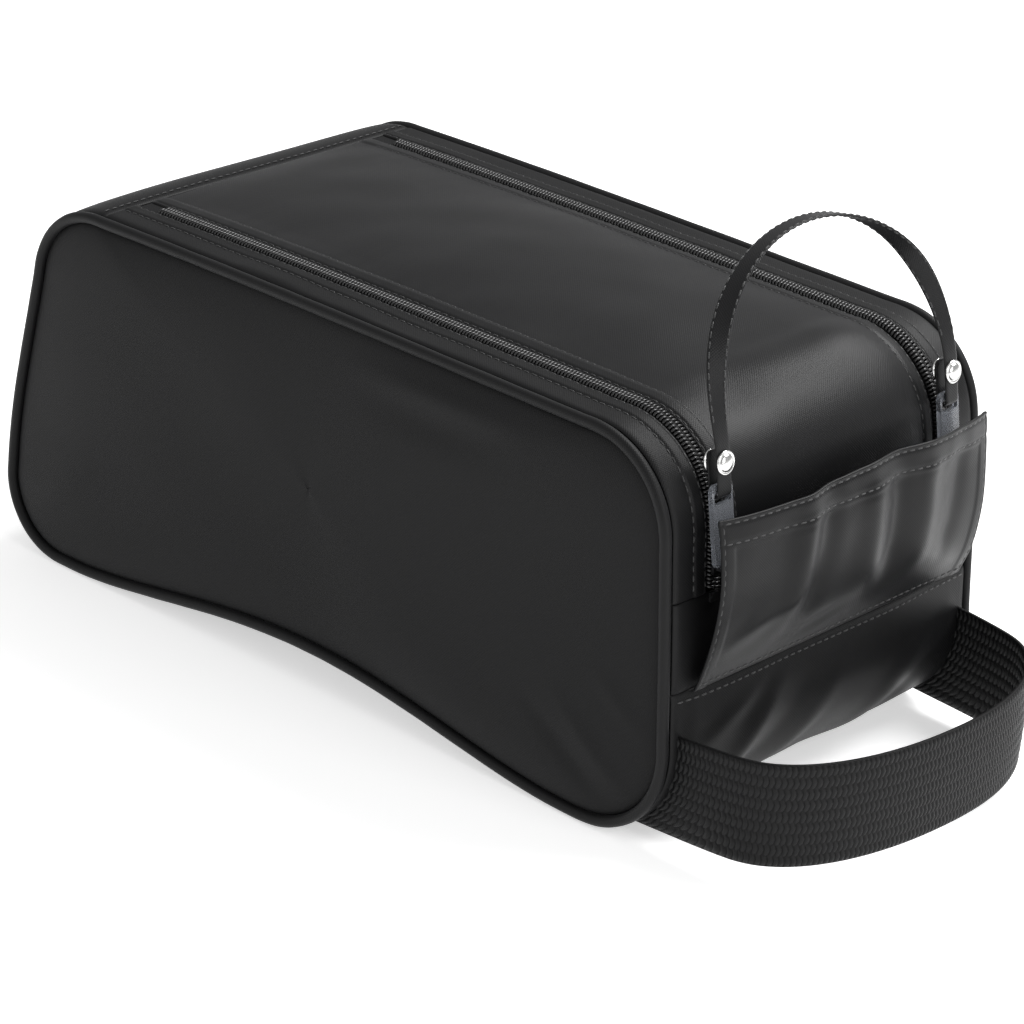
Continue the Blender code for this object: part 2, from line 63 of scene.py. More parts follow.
PIPING = 0.0022
SEAM_GAP = 0.0003
HALF_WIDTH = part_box("piping_far")[1][1]
BAG_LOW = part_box("piping_near")[0]
BAG_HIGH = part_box("piping_near")[1]
BOTTOM_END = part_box("bottom_panel")[1][0]
CLOSEST = 0.0008


class Outline:
    """The welted seam's outline: a smooth closed curve, read off the frame's side panel."""

    def __init__(self, node, grow):
        mesh = frame["nodes"][node].data
        spots = {(round(v.co.x, 5), round(v.co.z, 5)) for v in mesh.vertices}
        spots = np.array(sorted(spots))
        middle = (spots.max(axis=0) + spots.min(axis=0)) / 2
        turn = np.arctan2(spots[:, 1] - middle[1], spots[:, 0] - middle[0])
        spots = spots[np.argsort(turn)]
        start = np.argmin(np.hypot(spots[:, 0] - BOTTOM_END, spots[:, 1]))
        spots = np.roll(spots, -start, axis=0)
        apart = np.linalg.norm(spots - np.roll(spots, 1, axis=0), axis=1)
        spots = spots[apart > CLOSEST]
        smooth = self.curve_through(spots, 14)
        along = np.roll(smooth, -1, axis=0) - np.roll(smooth, 1, axis=0)
        out = np.stack([along[:, 1], -along[:, 0]], axis=1)
        out /= np.linalg.norm(out, axis=1)[:, None]
        self.points = smooth + out * grow
        steps = np.linalg.norm(np.roll(self.points, -1, axis=0) - self.points, axis=1)
        self.total = steps.sum()
        self.marks = np.concatenate([[0.0], np.cumsum(steps)])
        closed = np.vstack([self.points, self.points[:1]])
        normals = np.vstack([out, out[:1]])
        even = np.linspace(0.0, self.total, 2401)
        self.even = even
        self.xz = np.stack([np.interp(even, self.marks, closed[:, i]) for i in (0, 1)], axis=1)
        soft = np.stack([np.interp(even, self.marks, normals[:, i]) for i in (0, 1)], axis=1)
        kernel = np.hanning(31)
        kernel /= kernel.sum()
        ring = np.vstack([soft[-16:-1], soft, soft[1:16]])
        soft = np.stack([np.convolve(ring[:, i], kernel, mode="valid") for i in (0, 1)], axis=1)
        self.out = soft / np.linalg.norm(soft, axis=1)[:, None]

    @staticmethod
    def curve_through(spots, parts):
        """A smooth curve through a closed ring of points at uneven distances."""
        after = np.roll(spots, -1, axis=0)
        span = np.linalg.norm(after - spots, axis=1)[:, None]
        ahead = (after - spots) / span
        behind = np.roll(ahead, 1, axis=0)
        span_behind = np.roll(span, 1, axis=0)
        tangent = (behind * span + ahead * span_behind) / (span + span_behind)
        tangent /= np.linalg.norm(tangent, axis=1)[:, None]
        leave = tangent * span
        arrive = np.roll(tangent, -1, axis=0) * span
        runs = []
        for t in np.arange(parts) / parts:
            runs.append(spots * (1 + 2 * t) * (1 - t) ** 2 + leave * t * (1 - t) ** 2
                        + after * t * t * (3 - 2 * t) + arrive * t * t * (t - 1))
        return np.stack(runs, axis=1).reshape(-1, 2)

    def at(self, length, push=0.0):
        length = np.mod(length, self.total)
        x = np.interp(length, self.even, self.xz[:, 0])
        z = np.interp(length, self.even, self.xz[:, 1])
        nx = np.interp(length, self.even, self.out[:, 0])
        nz = np.interp(length, self.even, self.out[:, 1])
        return x + nx * push, z + nz * push, nx, nz

    def front_at(self, height):
        """The length at which the front end first reaches a height."""
        index = np.argmax((self.xz[:, 1] >= height) & (self.xz[:, 0] > 0))
        return self.even[index]

    def top_at(self, x):
        """The length at which the top, running rearward, reaches x."""
        index = np.argmax((self.xz[:, 0] <= x) & (self.xz[:, 1] > BAG_HIGH[2] / 2))
        return self.even[index]

    def rear_at(self, height):
        """The length at which the rear end comes down to a height."""
        index = np.argmax((self.xz[:, 1] <= height) & (self.xz[:, 0] < 0) & (self.even > self.total * 0.3))
        return self.even[index]


OUTLINE = Outline("side_panel_near", 2 * PIPING + SEAM_GAP)


def ease(value):
    """A smooth step from 0 to 1."""
    value = np.clip(value, 0.0, 1.0)
    return value * value * (3 - 2 * value)


def ripple(x, y, scale, seed):
    """Soft even noise in metres, about -1 to 1, for a pair of coordinate arrays."""
    flat = [noise.noise(Vector((a / scale, b / scale, seed))) for a, b in zip(np.ravel(x), np.ravel(y))]
    return np.array(flat).reshape(np.shape(x))


def fold(x, y, start, end, width, depth, sharp=1.0):
    """A single soft crease along a straight run, which fades at both ends."""
    dx, dy = end[0] - start[0], end[1] - start[1]
    span = math.hypot(dx, dy)
    along = ((x - start[0]) * dx + (y - start[1]) * dy) / span ** 2
    side = ((x - start[0]) * dy - (y - start[1]) * dx) / span
    fade = ease(1.0 - np.abs(along - 0.5) * 2) ** 0.7
    return depth * fade * np.exp(-np.abs(side / width) ** (1.0 + sharp))


def new_piece(name, vertices, faces):
    """A smooth-shaded object from plain lists, in the scene."""
    mesh = bpy.data.meshes.new(name)
    mesh.from_pydata(vertices, [], faces)
    mesh.shade_smooth()
    made = bpy.data.objects.new(name, mesh)
    bpy.context.collection.objects.link(made)
    return made


def keep_size(made, sizes):
    """Writes each point's true place on the cloth, in metres, into the UV map."""
    layer = made.data.uv_layers.new(name="size")
    index = np.empty(len(made.data.loops), dtype=np.int32)
    made.data.loops.foreach_get("vertex_index", index)
    layer.data.foreach_set("uv", sizes[index].ravel())


def grid_mesh(name, where, uv, close_u=False, thickness=0.0, levels=1, flip=False):
    """A quad sheet from an array of points, with its true size in its UV map."""
    rows, columns = where.shape[:2]
    vertices = where.reshape(-1, 3).tolist()
    faces = []
    for i in range(rows if close_u else rows - 1):
        j = (i + 1) % rows
        for k in range(columns - 1):
            quad = (i * columns + k, j * columns + k, j * columns + k + 1, i * columns + k + 1)
            faces.append(quad[::-1] if flip else quad)
    made = new_piece(name, vertices, faces)
    keep_size(made, uv.reshape(-1, 2))
    if thickness:
        wall = made.modifiers.new("wall", "SOLIDIFY")
        wall.thickness = thickness
        wall.offset = -1.0
    if levels:
        smooth = made.modifiers.new("smooth", "SUBSURF")
        smooth.levels = levels
        smooth.render_levels = levels
    return made


def join_up(made, distance=1e-7, holes=False, outward=True):
    """Merges doubled points and, if asked, closes open ends and turns the faces outward."""
    bm = bmesh.new()
    bm.from_mesh(made.data)
    bmesh.ops.remove_doubles(bm, verts=bm.verts, dist=distance)
    if holes:
        bmesh.ops.holes_fill(bm, edges=[e for e in bm.edges if e.is_boundary])
    if outward:
        bmesh.ops.recalc_face_normals(bm, faces=bm.faces)
    bm.to_mesh(made.data)
    bm.free()


def wire(tree, kind, **settings):
    node = tree.nodes.new("ShaderNode" + kind)
    for key, value in settings.items():
        if key in node.inputs:
            node.inputs[key].default_value = value
        else:
            setattr(node, key, value)
    return node


def new_look(name):
    """An empty material, with its node tree and its shader."""
    made = bpy.data.materials.new(name)
    made.use_nodes = True
    return made, made.node_tree, made.node_tree.nodes["Principled BSDF"]


def cloth_material(name, colour, rough, sheen, thread=0.00055, weave=0.25, cloud=0.3):
    """Woven coated cloth: over-and-under threads, slubs, a cloudy change of gloss and tone, and painted shade
    in the dips between threads.
    """
    made, tree, shader = new_look(name)
    shader.inputs["Sheen Weight"].default_value = sheen * 0.35
    shader.inputs["Sheen Roughness"].default_value = 0.45
    shader.inputs["Sheen Tint"].default_value = (0.75, 0.76, 0.80, 1.0)
    shader.inputs["Specular IOR Level"].default_value = 0.17
    place = wire(tree, "UVMap", uv_map="size")
    split = wire(tree, "SeparateXYZ")
    tree.links.new(place.outputs["UV"], split.inputs[0])
    waves = []
    for axis in ("X", "Y"):
        turn = wire(tree, "Math", operation="MULTIPLY")
        turn.inputs[1].default_value = math.pi / thread
        tree.links.new(split.outputs[axis], turn.inputs[0])
        sine = wire(tree, "Math", operation="SINE")
        tree.links.new(turn.outputs[0], sine.inputs[0])
        waves.append(sine)
    over = wire(tree, "Math", operation="MULTIPLY")
    tree.links.new(waves[0].outputs[0], over.inputs[0])
    tree.links.new(waves[1].outputs[0], over.inputs[1])
    slub = wire(tree, "TexNoise")
    slub.inputs["Scale"].default_value = 900.0
    slub.inputs["Detail"].default_value = 3.0
    tree.links.new(place.outputs["UV"], slub.inputs["Vector"])
    height = wire(tree, "Math", operation="MULTIPLY_ADD")
    height.inputs[1].default_value = 0.6
    tree.links.new(over.outputs[0], height.inputs[0])
    tree.links.new(slub.outputs["Fac"], height.inputs[2])
    bump = wire(tree, "Bump")
    bump.inputs["Strength"].default_value = weave
    bump.inputs["Distance"].default_value = 0.00018
    tree.links.new(height.outputs[0], bump.inputs["Height"])
    tree.links.new(bump.outputs[0], shader.inputs["Normal"])
    clouds = wire(tree, "TexNoise")
    clouds.inputs["Scale"].default_value = 22.0
    clouds.inputs["Detail"].default_value = 5.0
    tree.links.new(place.outputs["UV"], clouds.inputs["Vector"])
    gloss = wire(tree, "MapRange")
    gloss.inputs["To Min"].default_value = rough - 0.10 * cloud
    gloss.inputs["To Max"].default_value = rough + 0.16 * cloud
    tree.links.new(clouds.outputs["Fac"], gloss.inputs["Value"])
    tree.links.new(gloss.outputs[0], shader.inputs["Roughness"])
    # Base colour: painted shade in the dips of the weave and a painted highlight on its raised crossings,
    # from the weave height; the cloudy noise adds real uneven tone.
    weave_shade_and_cloud_tone = wire(tree, "Mix", data_type="RGBA")
    weave_shade_and_cloud_tone.inputs["A"].default_value = (*[c * 0.82 for c in colour], 1.0)
    weave_shade_and_cloud_tone.inputs["B"].default_value = (*[c * 1.22 for c in colour], 1.0)
    weave_shade_and_cloud_share = wire(tree, "Math", operation="MULTIPLY_ADD", use_clamp=True)
    weave_shade_and_cloud_share.inputs[1].default_value = 0.22
    tree.links.new(over.outputs[0], weave_shade_and_cloud_share.inputs[0])
    tree.links.new(clouds.outputs["Fac"], weave_shade_and_cloud_share.inputs[2])
    tree.links.new(weave_shade_and_cloud_share.outputs[0], weave_shade_and_cloud_tone.inputs["Factor"])
    tree.links.new(weave_shade_and_cloud_tone.outputs["Result"], shader.inputs["Base Color"])
    return made


SIDE_CLOTH = cloth_material("side_cloth", (0.0060, 0.0060, 0.0063), 0.62, 0.06)
SIDE_SWELL = 0.0052
RINGS = 64


def side_height(x, z, inset):
    """How far the near or far panel stands out of its seam plane."""
    swell = SIDE_SWELL * (1 - np.exp(-inset / 0.020))
    tuck = -0.0011 * np.exp(-inset / 0.0016)
    drape = 0.0007 * ripple(x, z * 1.4, 0.075, 3.1) * ease(inset / 0.02)
    top = BAG_HIGH[2]
    pull = fold(x, z, (-0.020, top - 0.017), (0.085, top - 0.014), 0.0055, 0.0013)
    pull -= fold(x, z, (-0.010, top - 0.027), (0.075, top - 0.024), 0.0070, 0.0010)
    front = BAG_HIGH[0]
    pull += fold(x, z, (front - 0.055, 0.052), (front - 0.012, 0.014), 0.0040, 0.0008)
    pull -= fold(x, z, (front - 0.070, 0.046), (front - 0.020, 0.008), 0.0045, 0.0009)
    pull += fold(x, z, (front - 0.036, 0.066), (front - 0.006, 0.040), 0.0040, 0.0006)
    rear = BAG_LOW[0]
    pull += fold(x, z, (rear + 0.012, 0.020), (rear + 0.060, 0.052), 0.0050, 0.0006)
    return swell + tuck + drape + pull * ease(inset / 0.006)


def side_panel(side, sign):
    turns = 440
    length = np.linspace(0.0, OUTLINE.total, turns, endpoint=False)
    edge_x, edge_z, _, _ = OUTLINE.at(length, -(2 * PIPING + SEAM_GAP) + 0.0006)
    mid_x = (BAG_LOW[0] + BAG_HIGH[0]) / 2
    mid_z = BAG_HIGH[2] * 0.54
    share = 1 - (np.linspace(0.0, 1.0, RINGS) ** 1.25)
    x = mid_x + (edge_x[:, None] - mid_x) * share[None, :]
    z = mid_z + (edge_z[:, None] - mid_z) * share[None, :]
    inset = np.hypot(edge_x - mid_x, edge_z - mid_z)[:, None] * (1 - share[None, :]) * 0.93
    y = sign * (HALF_WIDTH - PIPING + side_height(x, z, inset))
    where = np.stack([x, y, z], axis=2)
    uv = np.stack([x, z], axis=2)
    made = grid_mesh("side_cloth_" + side, where, uv, close_u=True, thickness=0.0012, levels=0, flip=sign > 0)
    made.data.materials.append(SIDE_CLOTH)
    join_up(made, distance=1e-6, outward=False)
    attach(made, "bag_body")
    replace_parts(made, "side_panel_" + side)


side_panel("near", -1)
side_panel("far", 1)

# ------------------------------------------------------------------ piping
# A round welt runs in each side seam: a strip of the same cloth wrapped over a cord
# and caught between the panels. It stands proud, with a narrow gutter on both sides.

WELT_CLOTH = cloth_material("welt_cloth", (0.0070, 0.0070, 0.0073), 0.50, 0.12, weave=0.22)


def tube_ring(name, inset, y, radius, sides, wobble, seed):
    count = 720
    length = np.linspace(0.0, OUTLINE.total, count, endpoint=False)
    x, z, nx, nz = OUTLINE.at(length, -inset)
    angle = np.linspace(0.0, 2 * math.pi, sides + 1)
    size = radius * (1 + wobble * ripple(length, length * 0, 0.012, seed))[:, None]
    lift = size * np.cos(angle)[None, :]
    where = np.stack([
        x[:, None] + nx[:, None] * lift,
        y + size * np.sin(angle)[None, :],
        z[:, None] + nz[:, None] * lift,
    ], axis=2)
    uv = np.stack([np.repeat(length[:, None], sides + 1, axis=1),
                   np.repeat((angle * radius)[None, :], count, axis=0)], axis=2)
    made = grid_mesh(name, where, uv, close_u=True, levels=0)
    join_up(made, distance=1e-6)
    made.data.shade_smooth()
    return made


for side, sign in (("near", -1), ("far", 1)):
    welt = tube_ring("welt_" + side, PIPING, sign * (HALF_WIDTH - PIPING), PIPING, 14, 0.035, 8.5 + sign)
    welt.data.materials.append(WELT_CLOTH)
    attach(welt, "bag_body")
    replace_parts(welt, "piping_" + side)

# ------------------------------------------------------------------ band panels
# The band round the bag is sewn from the same cloth: a bottom, a rear end, a lower and
# an upper front end, and a narrow gusset strip beside each zip. Edges turn into the seams.

BAND_CLOTH = cloth_material("band_cloth", (0.0045, 0.0045, 0.0048), 0.48, 0.05)
BAND_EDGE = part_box("gusset_strip_far")[1][1]
STRIP_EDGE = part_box("gusset_strip_far")[0][1]
LID_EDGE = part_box("lid_panel")[1][1]
ZIP_Y = (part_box("zip_coil_far_outer")[0][1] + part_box("zip_coil_far_lid")[1][1]) / 2
SEAM_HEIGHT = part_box("front_end_lower_panel")[1][2]
ZIP_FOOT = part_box("gusset_strip_near")[0][2]
HINGE_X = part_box("lid_panel")[0][0]
SEAM_AT = OUTLINE.front_at(SEAM_HEIGHT)
ZIP_AT = OUTLINE.front_at(ZIP_FOOT)
HINGE_AT = OUTLINE.top_at(HINGE_X)
REAR_AT = OUTLINE.rear_at(0.0008)


def band_sheet(name, start, end, low, high, height, material, rows, columns, thickness=0.0011, bunch=1.0):
    """A sheet that follows the outline between two lengths, with its height from a function."""
    length = np.linspace(start, end, rows)
    part = np.linspace(-1.0, 1.0, columns)
    part = np.sign(part) * (1 - (1 - np.abs(part)) ** bunch)
    across = (low + high) / 2 + (high - low) / 2 * part
    s, y = np.meshgrid(length, across, indexing="ij")
    x, z, nx, nz = OUTLINE.at(s)
    lift = height(s, y)
    where = np.stack([x + nx * lift, y, z + nz * lift], axis=2)
    uv = np.stack([s, y], axis=2)
    made = grid_mesh(name, where, uv, thickness=thickness, flip=True)
    made.data.materials.append(material)
    return made


def tucked(s, y, low, high, start, end, edge=0.0012, ends=0.0007):
    """Turns a sheet's edges down into its seams."""
    from_side = np.minimum(y - low, high - y)
    from_end = np.minimum(s - start, end - s)
    return -edge * np.exp(-from_side / 0.0011) - ends * np.exp(-from_end / 0.0009)


def rear_height(s, y):
    part = np.clip((s - HINGE_AT) / (REAR_AT - HINGE_AT), 0, 1)
    swell = 0.0030 * (1 - (y / BAND_EDGE) ** 4) * np.sin(np.pi * part)
    soft = 0.0009 * ripple(s, y * 0.7, 0.055, 5.3)
    return swell + soft * ease((BAND_EDGE - np.abs(y)) / 0.015) + tucked(
        s, y, -BAND_EDGE, BAND_EDGE, HINGE_AT, REAR_AT)


def bottom_height(s, y):
    soft = 0.0006 * ripple(s, y, 0.06, 9.2) * ease((BAND_EDGE - np.abs(y)) / 0.015)
    return np.minimum(soft, 0.0002) - 0.0002 + tucked(s, y, -BAND_EDGE, BAND_EDGE, REAR_AT, OUTLINE.total)


def lower_front_height(s, y):
    x, z, _, _ = OUTLINE.at(s)
    folds = fold(y, z, (-0.070, 0.006), (-0.020, 0.058), 0.0050, 0.0016)
    folds -= fold(y, z, (-0.058, 0.006), (-0.006, 0.050), 0.0060, 0.0013)
    folds += fold(y, z, (-0.040, 0.004), (0.012, 0.046), 0.0050, 0.0011)
    folds += fold(y, z, (0.020, 0.010), (0.066, 0.052), 0.0055, 0.0013)
    folds -= fold(y, z, (0.034, 0.006), (0.076, 0.042), 0.0050, 0.0010)
    folds += fold(y, z, (-0.074, 0.034), (-0.030, 0.060), 0.0040, 0.0009)
    soft = 0.0011 * ripple(y, z * 1.3, 0.032, 1.7)
    swell = 0.0020 * (1 - (y / BAND_EDGE) ** 4)
    inner = ease((BAND_EDGE - np.abs(y)) / 0.012) * ease(s / 0.02)
    return (folds + soft + swell * ease(z / 0.03)) * inner + tucked(s, y, -BAND_EDGE, BAND_EDGE, 0.0, SEAM_AT)


def upper_front_height(s, y):
    return 0.0 * s + tucked(s, y, -BAND_EDGE, BAND_EDGE, SEAM_AT, ZIP_AT, ends=0.0003)


STITCH_EDGE = 0.0013
STITCH_SECOND = 0.0072


def folded_edge(distance):
    """Double cloth beside a zip: thicker for a finger's width, with two sewn grooves."""
    thick = 0.00055 * (1 - ease((distance - 0.0058) / 0.0030))
    round_off = -0.0011 * np.exp(-distance / 0.00045)
    first = -0.00040 * np.exp(-((distance - STITCH_EDGE) / 0.00055) ** 2)
    second = -0.00034 * np.exp(-((distance - STITCH_SECOND) / 0.00065) ** 2)
    return thick + round_off + first + second


def strip_height(s, y):
    distance = np.abs(y) - STRIP_EDGE
    pucker = 0.00022 * ripple(s * 1.0, y * 0.35, 0.0062, 2.2) * np.exp(-distance / 0.012)
    soft = 0.0005 * ripple(s, y, 0.03, 4.4 + np.sign(y).flat[0])
    seam = -0.0012 * np.exp(-(BAND_EDGE - np.abs(y)) / 0.0011)
    inner = ease(np.minimum(distance, BAND_EDGE - np.abs(y)) / 0.004)
    return folded_edge(distance) + pucker + soft * inner + seam


SEAM_LAP = 0.0010
rear = band_sheet("rear_cloth", HINGE_AT, REAR_AT, -BAND_EDGE, BAND_EDGE, rear_height,
                  BAND_CLOTH, 70, 64, bunch=1.5)
bottom = band_sheet("bottom_cloth", REAR_AT - SEAM_LAP, OUTLINE.total + SEAM_LAP, -BAND_EDGE, BAND_EDGE,
                    bottom_height, BAND_CLOTH, 80, 60, bunch=1.5)
lower = band_sheet("lower_front_cloth", 0.0, SEAM_AT + 0.6 * SEAM_LAP, -BAND_EDGE, BAND_EDGE,
                   lower_front_height, BAND_CLOTH, 64, 130, bunch=1.3)
upper = band_sheet("upper_front_cloth", SEAM_AT, ZIP_AT, -BAND_EDGE, BAND_EDGE, upper_front_height,
                   BAND_CLOTH, 20, 60, bunch=1.5)
band = {
    "rear_end_panel": rear,
    "bottom_panel": bottom,
    "front_end_lower_panel": lower,
    "front_end_upper_panel": upper,
}
for node, piece in band.items():
    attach(piece, "bag_body")
    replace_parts(piece, node)

for side, sign in (("near", -1), ("far", 1)):
    low, high = sorted((sign * STRIP_EDGE, sign * BAND_EDGE))
    strip = band_sheet("gusset_cloth_" + side, ZIP_AT, HINGE_AT, low, high, strip_height, BAND_CLOTH,
                       230, 36, bunch=1.35)
    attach(strip, "bag_body")
    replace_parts(strip, "gusset_strip_" + side)

# ------------------------------------------------------------------ lid
# One cloth panel between the zips, crowned over the shoes and softly dented towards the
# front corner. Its long edges are folded under and sewn twice beside the zip tapes.

LID_CLOTH = cloth_material("lid_cloth", (0.0066, 0.0066, 0.0070), 0.40, 0.10, weave=0.22, cloud=0.5)
LID_CROWN = 0.0058
HINGE_BEND = 0.010


def lid_height(s, y):
    part = np.clip((s - ZIP_AT) / (HINGE_AT - ZIP_AT), 0, 1)
    x, z, _, _ = OUTLINE.at(s)
    crown = LID_CROWN * np.sin(np.pi * part) ** 0.5 * (1 - np.abs(y / LID_EDGE) ** 2.4)
    front = BAG_HIGH[0]
    dents = -0.0022 * np.exp(-(((x - (front - 0.052)) / 0.016) ** 2 + ((y - 0.006) / 0.030) ** 2))
    dents += 0.0012 * np.exp(-(((x - (front - 0.086)) / 0.018) ** 2 + ((y + 0.014) / 0.034) ** 2))
    dents -= 0.0016 * np.exp(-(((x - (front - 0.030)) / 0.012) ** 2 + ((y + 0.030) / 0.016) ** 2))
    dents += 0.0010 * np.exp(-(((x - (front - 0.036)) / 0.010) ** 2 + ((y - 0.034) / 0.014) ** 2))
    soft = 0.0010 * ripple(s, y * 0.8, 0.070, 6.1) + 0.0004 * ripple(s, y, 0.026, 7.9)
    distance = LID_EDGE - np.abs(y)
    pucker = 0.00024 * ripple(s, y * 0.35, 0.0062, 3.7) * np.exp(-distance / 0.012)
    ends = ease(np.minimum(s - ZIP_AT, HINGE_AT - s) / 0.02)
    tuck = -0.0006 * np.exp(-(HINGE_AT - s) / 0.0009)
    inner = ease(distance / 0.016) * ends
    return crown + (dents + soft) * inner + folded_edge(distance) + pucker + tuck


lid = band_sheet("lid_cloth", ZIP_AT + SEAM_GAP, HINGE_AT, -LID_EDGE, LID_EDGE, lid_height, LID_CLOTH,
                 230, 96, bunch=1.6)
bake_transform(lid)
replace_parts(lid, "lid_panel")

# ------------------------------------------------------------------ stitching
# Black thread in lockstitch rows of about three and a half millimetres: two rows beside
# each zip edge, one at each panel seam. Each stitch dips into its needle holes.

STITCH_LENGTH = 0.0027
STITCH_PITCH = 0.0036
THREAD = 0.00032

THREAD_LOOK, tree, shader = new_look("black_thread")
shader.inputs["Base Color"].default_value = (0.012, 0.012, 0.0125, 1.0)
shader.inputs["Roughness"].default_value = 0.48
shader.inputs["Sheen Weight"].default_value = 0.15
twist = wire(tree, "TexWave", bands_direction="DIAGONAL")
twist.inputs["Scale"].default_value = 900.0
ply = wire(tree, "TexCoord")
tree.links.new(ply.outputs["Object"], twist.inputs["Vector"])
lay = wire(tree, "Bump")
lay.inputs["Strength"].default_value = 0.4
lay.inputs["Distance"].default_value = 0.0001
tree.links.new(twist.outputs["Fac"], lay.inputs["Height"])
tree.links.new(lay.outputs[0], shader.inputs["Normal"])


def walk(points, pitch):
    """Even stations along a line of points: place, direction and share of the line."""
    points = np.asarray(points)
    steps = np.linalg.norm(np.diff(points, axis=0), axis=1)
    marks = np.concatenate([[0.0], np.cumsum(steps)])
    count = max(1, int(marks[-1] / pitch))
    at = (np.arange(count) + 0.5) * marks[-1] / count
    place = np.stack([np.interp(at, marks, points[:, i]) for i in range(3)], axis=1)
    ahead = np.stack([np.interp(at + pitch * 0.3, marks, points[:, i]) for i in range(3)], axis=1)
    behind = np.stack([np.interp(at - pitch * 0.3, marks, points[:, i]) for i in range(3)], axis=1)
    along = ahead - behind
    along /= np.linalg.norm(along, axis=1)[:, None]
    return place, along, at / marks[-1]


def stitches(name, rows, body):
    """Many stitches as one piece; each row is a line of points and the normals beside it."""
    vertices = []
    faces = []
    profile = ((-0.50, 0.25, -0.9), (-0.38, 0.85, 0.1), (-0.15, 1.0, 0.55), (0.15, 1.0, 0.55),
               (0.38, 0.85, 0.1), (0.50, 0.25, -0.9))
    sides = 6
    for points, normals in rows:
        place, along, share = walk(points, STITCH_PITCH)
        normals = np.asarray(normals)
        marks = np.linspace(0, 1, len(normals))
        up = np.stack([np.interp(share, marks, normals[:, i]) for i in range(3)], axis=1)
        up -= along * (up * along).sum(axis=1)[:, None]
        up /= np.linalg.norm(up, axis=1)[:, None]
        wide = np.cross(along, up)
        for p, a, u, w in zip(place, along, up, wide):
            base = len(vertices)
            for t, size, lift in profile:
                centre = p + a * t * STITCH_LENGTH + u * lift * THREAD * 0.5
                for k in range(sides):
                    angle = 2 * math.pi * k / sides
                    around = u * math.cos(angle) * 0.8 + w * math.sin(angle)
                    vertices.append(centre + around * THREAD * size)
            for r in range(len(profile) - 1):
                for k in range(sides):
                    m = (k + 1) % sides
                    faces.append((base + r * sides + k, base + r * sides + m,
                                  base + (r + 1) * sides + m, base + (r + 1) * sides + k))
            faces.append(tuple(base + k for k in range(sides))[::-1])
            top = base + (len(profile) - 1) * sides
            faces.append(tuple(top + k for k in range(sides)))
    made = new_piece(name, [tuple(v) for v in vertices], faces)
    made.data.materials.append(THREAD_LOOK)
    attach(made, body)


def band_line(start, end, y, height):
    """A line on a band sheet at a constant width."""
    s = np.linspace(start, end, max(8, int((end - start) / 0.002)))
    x, z, nx, nz = OUTLINE.at(s)
    lift = height(s[:, None], np.full((len(s), 1), y))[:, 0]
    return (np.stack([x + nx * lift, np.full(len(s), y), z + nz * lift], axis=1),
            np.stack([nx, np.zeros(len(s)), nz], axis=1))


def cross_line(s, low, high, height):
    """A line across a band sheet at a constant length."""
    y = np.linspace(low, high, 80)
    x, z, nx, nz = OUTLINE.at(np.full(80, s))
    lift = height(np.full((80, 1), s), y[:, None])[:, 0]
    return (np.stack([x + nx * lift, y, z + nz * lift], axis=1),
            np.stack([nx, np.zeros(80), nz], axis=1))


for side, sign in (("near", -1), ("far", 1)):
    rows = [band_line(ZIP_AT + 0.002, HINGE_AT - 0.001, sign * (STRIP_EDGE + step), strip_height)
            for step in (STITCH_EDGE, STITCH_SECOND)]
    stitches("strip_stitches_" + side, rows, "bag_body")
    rows = [band_line(ZIP_AT + 0.002, HINGE_AT - HINGE_BEND, sign * (LID_EDGE - step), lid_height)
            for step in (STITCH_EDGE, STITCH_SECOND)]
    stitches("lid_stitches_" + side, rows, "lid")
FROM_SEAM = 0.0030
CROSS_END = BAND_EDGE - 0.002
rear_row = cross_line(HINGE_AT + FROM_SEAM, -CROSS_END, CROSS_END, rear_height)
stitches("rear_seam_stitches", [rear_row], "bag_body")
front_row = cross_line(SEAM_AT - FROM_SEAM, -CROSS_END, CROSS_END, lower_front_height)
stitches("front_seam_stitches", [front_row], "bag_body")

# ------------------------------------------------------------------ zips
# Each zip is a pair of woven tapes with a nylon coil sewn along each edge. The loops of
# the two coils sit between each other down the middle, held down by two lines of thread.

COIL_PITCH = 0.00150
COIL_WIRE = 0.00044
COIL_REACH = 0.00265
COIL_TOP = 0.0010



def uneven_gloss(tree, shader, scale, low, high, detail=2.0):
    """Fine noise in the roughness, as handling leaves it; gives back the noise."""
    marks = wire(tree, "TexNoise")
    marks.inputs["Scale"].default_value = scale
    marks.inputs["Detail"].default_value = detail
    place = wire(tree, "TexCoord")
    tree.links.new(place.outputs["Object"], marks.inputs["Vector"])
    wear = wire(tree, "MapRange")
    wear.inputs["To Min"].default_value = low
    wear.inputs["To Max"].default_value = high
    tree.links.new(marks.outputs["Fac"], wear.inputs["Value"])
    tree.links.new(wear.outputs[0], shader.inputs["Roughness"])
    return marks


COIL_LOOK, tree, shader = new_look("nylon_coil_black")
shader.inputs["Base Color"].default_value = (0.010, 0.010, 0.0105, 1.0)
shader.inputs["Specular IOR Level"].default_value = 0.62
uneven_gloss(tree, shader, 420.0, 0.20, 0.36)

TAPE_CLOTH = cloth_material("tape_cloth", (0.0060, 0.0060, 0.0063), 0.80, 0.10, thread=0.0007, weave=0.5)


def tape_height(s, y):
    return -0.0017 + 0.0 * s


def patch_height(s, y):
    return -0.0006 + 0.0 * s


